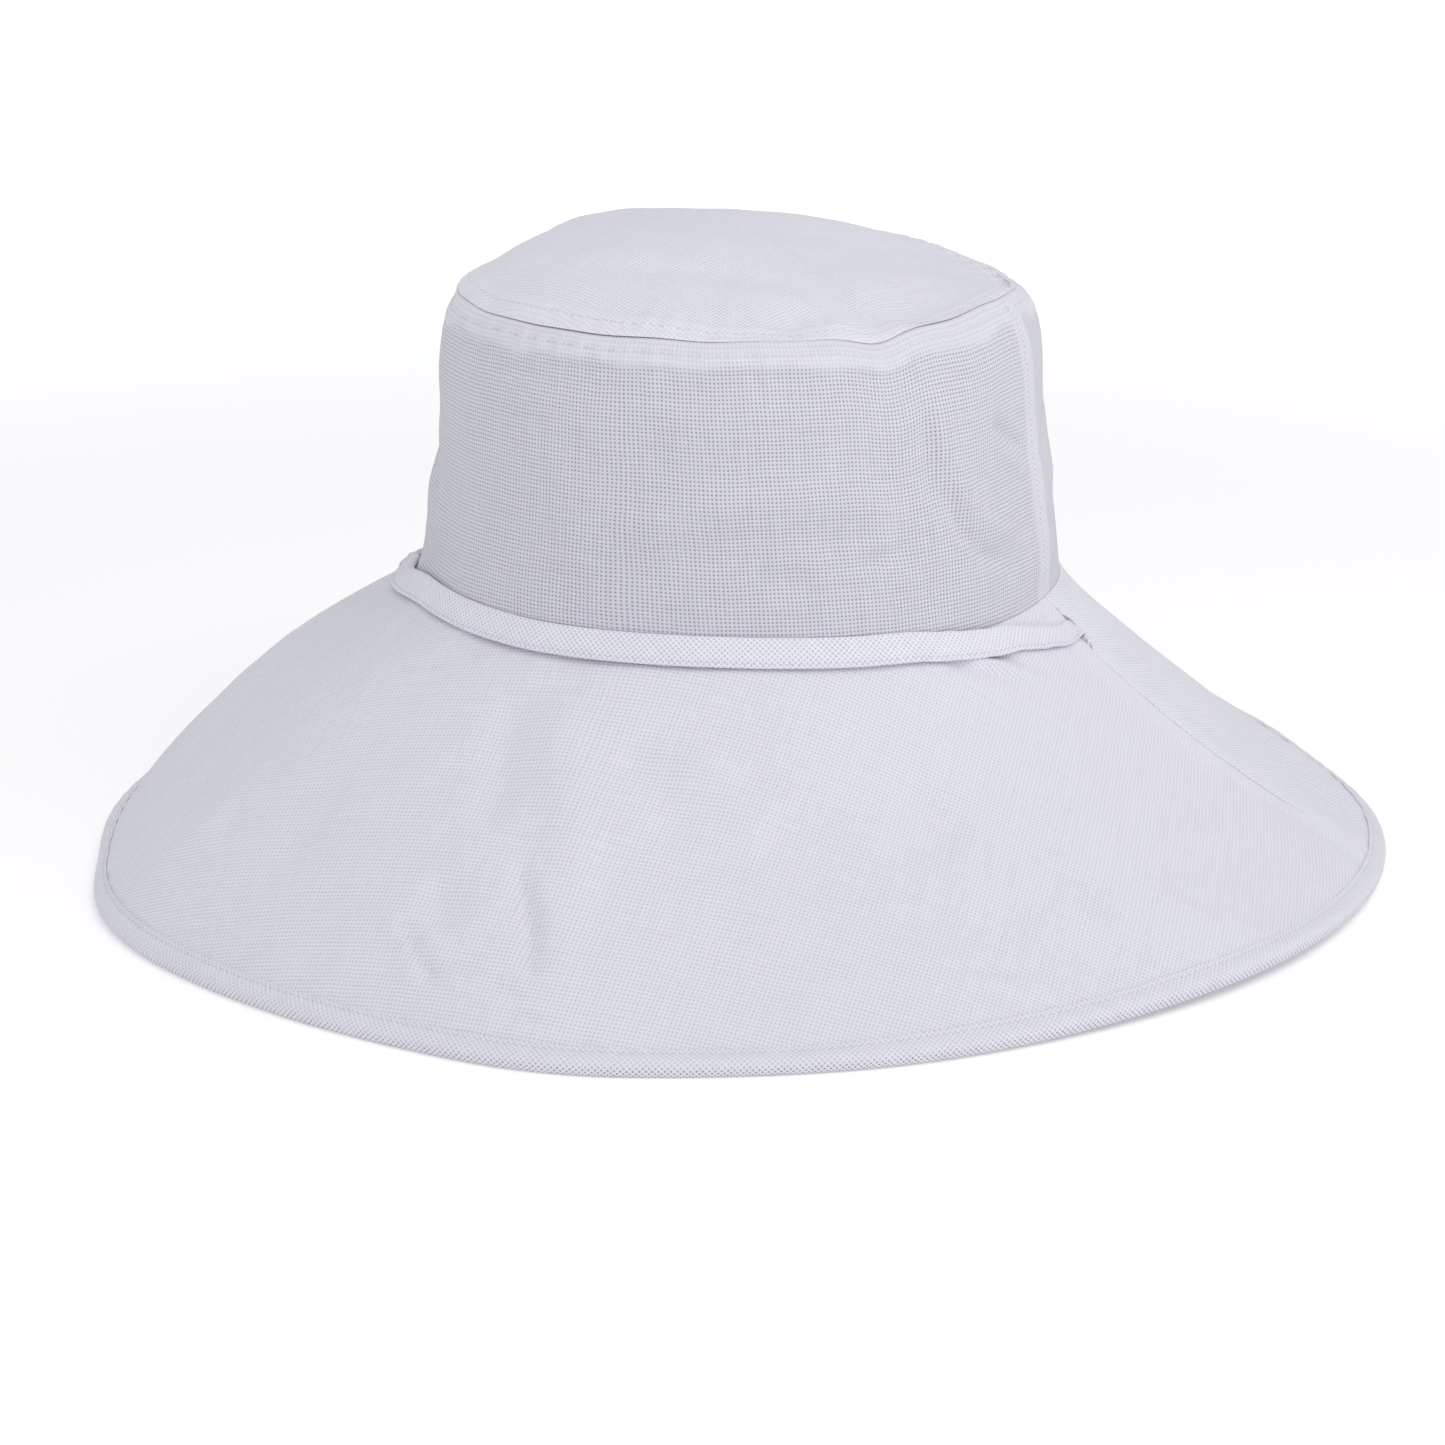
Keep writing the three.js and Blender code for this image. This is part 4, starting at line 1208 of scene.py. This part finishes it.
class HAT_OT_crown_sides(Operator):
    """Sew the crown's front and back side panels"""

    bl_idname = "hat.crown_sides"
    bl_label = "Crown sides"

    def execute(self, context):
        for half, middle in (("front", 0.0), ("back", 2 * QUARTER)):
            gap = SEAM_GAP_ANGLE
            angle = eased(middle - QUARTER + gap, middle + QUARTER - gap, 300)
            rise = np.concatenate([np.linspace(0.994, 0.88, 26), np.linspace(0.87, 0.0, 64)])
            a, v = np.meshgrid(angle, rise, indexing="ij")
            outer = np.concatenate([seam_edge(angle, -1)[:, ::-1], crown_side(a, v, 0)], axis=1)
            behind = crown_side(a, v, CLOTH)
            top = raised(seam_ring(angle, 1.75 * MM), -0.5 * MM)
            inner = np.concatenate([np.repeat(top[:, None], 4, axis=1), behind], axis=1)
            share = np.array([0.25, 0.5, 0.75])[None, :, None]
            inner[:, 1:4] = top[:, None] + (behind[:, :1] - top[:, None]) * share
            v_all = np.concatenate([[1.03, 1.02, 1.01, 1.0], rise])
            a_uv, v_uv = np.meshgrid(angle, v_all, indexing="ij")
            uv = side_pattern(a_uv, v_uv, middle)
            if half == "back":
                uv = bias(uv[..., 0], uv[..., 1])
            down = (1 - v_uv) * SIDE_LENGTH
            apart = side_seam_distance(a_uv, BASE_HALF_WIDTH)
            band = 6.5 * MM + 0.8 * MM * np.sin(a_uv * 11) + 0.5 * MM * np.sin(a_uv * 29 + 1)
            backing = 0.8 * smooth_step(band + 2 * MM, band - 2 * MM, down)
            backing = np.maximum(backing, 0.7 * smooth_step(5.5 * MM, 3.5 * MM, apart))
            piece = sheet_panel(f"side_panel_{half}", outer, inner, uv, backing)
            dress(piece, "crown_canvas", "hat", [f"crown_side_{half}"])
        return {"FINISHED"}


def lining_strip(name, middle, reach, high, low, near, thickness, kind, node, steps, tilted):
    """A strip of lining or tape against the inside of the crown's side."""
    angle = np.linspace(middle - reach, middle + reach, steps)
    rise = np.linspace(high, low, 28)
    a, v = np.meshgrid(angle, rise, indexing="ij")
    bulge = 0.25 * thickness * np.sin(np.pi * (v - low) / (high - low)) ** 0.5
    outer = crown_side(a, v, near)
    inner = crown_side(a, v, near + thickness) - outward(a) * bulge[..., None]
    flat = side_pattern(a, v, middle)
    uv = bias(flat[..., 0], flat[..., 1]) if tilted else flat
    return dress(sheet_panel(name, outer, inner, uv), kind, "hat", [node])


class HAT_OT_crown_lining(Operator):
    """Sew in the sweatband, the seam tapes and the blank label"""

    bl_idname = "hat.crown_lining"
    bl_label = "Crown lining"

    def execute(self, context):
        near = CLOTH + LAYER_GAP
        top = SWEATBAND_HEIGHT / SIDE_LENGTH
        whole = 2 * QUARTER - SEAM_GAP_ANGLE * 3
        band = lining_strip("sweat_band", 0.0, whole, top, 0.002, near, SWEATBAND_THICKNESS,
                            "inner_cotton", "sweatband", 480, False)
        lining_strip("tip_tape", 0.0, whole, 0.955, 0.82, near, TAPE_THICKNESS,
                     "bias_tape", "tip_seam_tape", 480, True)
        low = (SWEATBAND_HEIGHT + 1 * MM) / SIDE_LENGTH
        reach = 6 * MM / BASE_HALF_WIDTH
        for hand, side in (("left", -1), ("right", 1)):
            lining_strip(f"seam_tape_{hand}", side * QUARTER, reach, 0.8, low, near, TAPE_THICKNESS,
                         "bias_tape", f"side_seam_tape_{hand}", 24, True)
        lining_strip("blank_label", 2 * QUARTER, 0.17, 0.31, 0.08,
                     near + LAYER_GAP + 1.25 * SWEATBAND_THICKNESS, 0.4 * MM,
                     "woven_label", "care_label", 40, False)
        return {"FINISHED"}


# ---- The brim ----

def brim_half(name, middle, top, bottom, kind, node, steps, across):
    """One cloth layer of half the brim, between two depths below its top surface. Its two ends
    bow back from the side seams beside the slits: 1 - (2t - 1)^2 over the slit's length."""
    out = np.linspace(0, 1, across)
    share = np.linspace(0, 1, steps + 1)
    share = share - 0.6 * np.sin(2 * np.pi * share) / (2 * np.pi)
    ends = []
    for side in (-1, 1):
        seam = middle + side * QUARTER
        hand = 1 if math.sin(seam) > 0 else -1
        first, last = slit_share(hand, SLIT_START), slit_share(hand, SLIT_START + SLIT_LENGTH)
        t = np.clip((out - first) / (last - first), 0, 1)
        radius = BASE_HALF_WIDTH + SLIT_START + SLIT_LENGTH / 2
        bow = SLIT_HALF_GAP * (1 - (2 * t - 1) ** 4) * ((t > 0) & (t < 1)) / radius
        ends.append(seam - side * (SEAM_GAP_ANGLE + bow) + seam_drift(hand, out))
    a = ends[0][None] + (ends[1] - ends[0])[None] * share[:, None]
    u = np.tile(out, (steps + 1, 1))
    place = u * (1 - 2.2 * MM / brim_length(a))
    outer = brim_point(a, place, np.full_like(a, -top))
    inner = brim_point(a, place, np.full_like(a, -bottom))
    radius = BASE_HALF_WIDTH + u * (EDGE_HALF_WIDTH - BASE_HALF_WIDTH)
    straight = a - seam_drift(1, u) * (np.sin(a) > 0)
    backing = 0.6 * smooth_step(9 * MM, 7.5 * MM, side_seam_distance(straight, radius))
    piece = sheet_panel(name, outer, inner, cone_pattern(a, place, middle), backing)
    dress(piece, kind, "hat", [node])
    length = float(np.mean(brim_length(a)))
    return piece


class HAT_OT_brim_cloth(Operator):
    """Sew the brim's upper, stiffening and under layers, in front and back halves"""

    bl_idname = "hat.brim_cloth"
    bl_label = "Brim cloth"

    def execute(self, context):
        inner = CLOTH + LAYER_GAP
        under = inner + INTERLINING + LAYER_GAP
        for half, middle in (("front", 0.0), ("back", 2 * QUARTER)):
            brim_half(f"upper_brim_{half}", middle, 0, CLOTH, "brim_canvas",
                      f"brim_upper_{half}", 420, 90)
            brim_half(f"stiffening_{half}", middle, inner, inner + INTERLINING, "interlining",
                      f"brim_interlining_{half}", 200, 40)
            brim_half(f"lower_brim_{half}", middle, under, under + CLOTH, "under_brim_canvas",
                      f"brim_under_{half}", 300, 70)
        return {"FINISHED"}


def roll_centre(angle):
    """The middle of the rolled edge: a level oval that floats with the edge."""
    return raised(edge_ring(angle, ROLL_RADIUS), ROLL_CENTRE_HEIGHT + edge_lift(angle))


def binding_skin(angle, radius, strip):
    """One skin of the binding's section: down its top strip, round the roll and up its under
    strip. strip gives each row's distance from the edge as a share of the binding's reach."""
    one = np.ones_like(angle)
    length = brim_length(angle)
    normal, slope = normal_of(brim_shape, angle, one)
    rows = []
    outer = radius > ROLL_RADIUS - CLOTH / 2
    for share in strip:
        inward = 1 - share
        puff = BINDING_PUFF * puckers(angle * EDGE_HALF_WIDTH, 0, 1, 1, 11 * MM)
        dimple = BINDING_DIMPLE * hump(inward * BINDING_REACH, STITCH_MARGIN, 0.7 * MM)
        hug = smooth_step(0.1, 0.7, share) * (BINDING_HUG if outer else BINDING_HUG_INSIDE)
        above = radius - STACK / 2 - hug + (puff - dimple if outer else 0)
        rows.append(brim_point(angle, 1 - BINDING_REACH * share / length, above))
    roll = []
    for turn in np.linspace(0, math.pi, 19)[1:-1]:
        p = roll_centre(angle) + normal * radius * math.cos(turn) + slope * radius * math.sin(turn)
        p[..., 2] = np.maximum(p[..., 2], 0)
        roll.append(p)
    under = []
    for share in strip[::-1]:
        below = -STACK - (radius - STACK / 2) * (1 - 0.3 * share)
        under.append(brim_point(angle, 1 - BINDING_REACH * share / length, below * one))
    return np.stack(rows + roll + under, axis=1)


class HAT_OT_brim_edge(Operator):
    """Bind the brim's edge over its filler cord"""

    bl_idname = "hat.brim_edge"
    bl_label = "Brim edge"

    def execute(self, context):
        steps = 720
        angle = np.linspace(0, 2 * np.pi, steps, endpoint=False)
        strip = np.array([1.0, 0.97, 0.91, 0.85, 0.79, 0.72, 0.62, 0.5, 0.37, 0.24, 0.12])
        outer = binding_skin(angle, ROLL_RADIUS, strip)
        inner = binding_skin(angle, ROLL_RADIUS - CLOTH, strip)
        inner[:, 0] = inner[:, 1]
        outer[:, 0] = (outer[:, 0] + inner[:, 0]) / 2 + (outer[:, 0] - outer[:, 1]) * 0.4
        run = np.linspace(0, 2 * np.pi, steps + 1) * EDGE_HALF_WIDTH
        across = np.concatenate([[0], np.cumsum(np.linalg.norm(np.diff(outer[0], axis=0), axis=1))])
        r, d = np.meshgrid(run, across, indexing="ij")
        # Only the top strip, which lies on the brim, counts as backed. Round the roll and under it the
        # holes take their full painted shade, the shade under the roll, though the filler cord lies
        # inside.
        top_rows = len(strip) + 6
        on_top = BINDING_BACKED * smooth_step(top_rows, top_rows - 5, np.arange(outer.shape[1]))
        backing = np.tile(on_top, (steps, 1))
        piece = sheet_panel("edge_binding", outer, inner, bias(r, d), backing, wrap=True)
        dress(piece, "bias_binding", "hat", ["brim_edge_binding"])

        turns = np.linspace(0, 2 * np.pi, 1100, endpoint=False)
        sides = np.arange(18) / 18 * 2 * np.pi
        t, s = np.meshgrid(turns, sides, indexing="ij")
        twist = t * 145
        radius = FILLER_CORD_RADIUS * (0.9 + 0.1 * np.abs(np.cos(1.5 * (s + twist))))
        centre = roll_centre(t)
        sections = centre + outward(t) * (radius * np.cos(s))[..., None]
        sections = raised(sections, -radius * np.sin(s))
        uv = np.zeros((len(turns) + 1, len(sides) + 1, 2))
        cord = carried("edge_filler_cord", sections, uv, True, True)
        dress(cord, "filler_cord", "hat", ["brim_edge_filler_cord"])
        return {"FINISHED"}


# ---- Sewing ----

class HAT_OT_stitching(Operator):
    """Sew every row of stitches that shows"""

    bl_idname = "hat.stitching"
    bl_label = "Stitching"

    def execute(self, context):
        cloth = context.scene.hat_cloth
        pitch, radius = cloth.stitch_pitch, cloth.stitch_radius
        length = pitch * 0.78
        ring = np.linspace(0, 2 * np.pi, 1441)
        one = np.ones_like(ring)

        tip_at = one - 3.2 * MM / TIP_RADIUS
        tip_row = stitch_row(crown_tip(ring, tip_at, 0), raised(0.4 * outward(ring), 1), pitch, length)
        side_at = one - 3 * MM / SIDE_LENGTH
        side_row = stitch_row(crown_side(ring, side_at, 0), outward(ring), pitch, length)
        self.sew("tip_seam_stitches", [tip_row, side_row], radius, "hat")

        normal, _ = normal_of(brim_shape, ring, one)
        strip = binding_skin(ring, ROLL_RADIUS, np.array([1 - STITCH_MARGIN / BINDING_REACH]))[:, 0]
        self.sew("binding_stitches", [stitch_row(strip, normal, pitch, length)], radius, "hat")

        places, ways, narrow = front_run()
        travel = unit(np.gradient(places, axis=0))
        thick_way = unit(np.cross(ways, travel))
        low = 0.72 * TIE_WIDTH / 2 * narrow[:, None]
        edge = places + ways * low + thick_way * (0.62 * TIE_THICKNESS / 2)
        self.sew("tie_stitches", [stitch_row(edge, thick_way, pitch, length)], radius, "tie")

        base_row = stitch_row(crown_side(ring, one * 0.03, CLOTH + LAYER_GAP + SWEATBAND_THICKNESS),
                              -outward(ring), pitch, length)
        self.sew("sweatband_stitches", [base_row], radius, "hat")
        return {"FINISHED"}

    def sew(self, name, rows, radius, body):
        """Makes one object from some rows of stitches."""
        piece = stitches(name, rows, radius, body)
        piece.data.materials.append(material_of("thread"))


class HAT_OT_bar_tacks(Operator):
    """Sew the bar tack at each end of both slits"""

    bl_idname = "hat.bar_tacks"
    bl_label = "Bar tacks"

    def execute(self, context):
        places = {
            "inner": SLIT_START - TACK_DISTANCE,
            "outer": SLIT_START + SLIT_LENGTH + TACK_DISTANCE,
        }
        count = 13
        for hand, side in (("left", -1), ("right", 1)):
            for end, distance in places.items():
                out = np.full(count, slit_share(side, distance))
                a = np.full(count, side * QUARTER)
                normal, slope = normal_of(brim_shape, a, out)
                along = unit(np.cross(normal, slope))
                spread = np.linspace(-2.3, 2.3, count)[:, None] * MM
                zigzag = 0.12 * MM * (-1) ** np.arange(count)[:, None]
                middle = brim_shape(a, out) + normal * (LAYER_GAP + 0.2 * MM)
                middle = middle + along * (spread + zigzag)
                half = slope * 0.8 * MM
                core = (brim_shape(a, out) + normal * (LAYER_GAP + 0.05 * MM))[:1]
                reach = along[:1] * 2.4 * MM
                rows = [(middle - half, middle + half, normal), (core - reach, core + reach, normal[:1])]
                piece = stitches(f"bar_tack_{hand}_{end}", rows, TACK_THREAD_RADIUS, "hat")
                piece.data.materials.append(material_of("thread"))
                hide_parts(f"slit_bartack_{hand}_{end}")
        return {"FINISHED"}


class HAT_PT_pieces(Panel):
    """The pieces of the hat, in the order they are made"""

    bl_idname = "HAT_PT_pieces"
    bl_label = "Cloth hat"
    bl_space_type = "VIEW_3D"
    bl_region_type = "UI"
    bl_category = "Cloth hat"

    def draw(self, context):
        for operator in OPERATORS:
            self.layout.operator(operator.bl_idname)
        for group in (context.scene.hat_cloth, context.scene.hat_stage):
            box = self.layout.box()
            for name in group.__annotations__:
                box.prop(group, name)


OPERATORS = (
    HAT_OT_stage,
    HAT_OT_tie_tails,
    HAT_OT_tie_front,
    HAT_OT_crown_tip,
    HAT_OT_crown_sides,
    HAT_OT_crown_lining,
    HAT_OT_brim_cloth,
    HAT_OT_brim_edge,
    HAT_OT_bar_tacks,
    HAT_OT_stitching,
)
CLASSES = (HatCloth, HatStage, *OPERATORS, HAT_PT_pieces)


def register():
    for cls in CLASSES:
        bpy.utils.register_class(cls)
    bpy.types.Scene.hat_cloth = PointerProperty(type=HatCloth)
    bpy.types.Scene.hat_stage = PointerProperty(type=HatStage)


def unregister():
    del bpy.types.Scene.hat_stage
    del bpy.types.Scene.hat_cloth
    for cls in reversed(CLASSES):
        bpy.utils.unregister_class(cls)


def main():
    register()
    for operator in OPERATORS:
        group, name = operator.bl_idname.split(".")
        getattr(getattr(bpy.ops, group), name)()


if __name__ == "__main__":
    main()
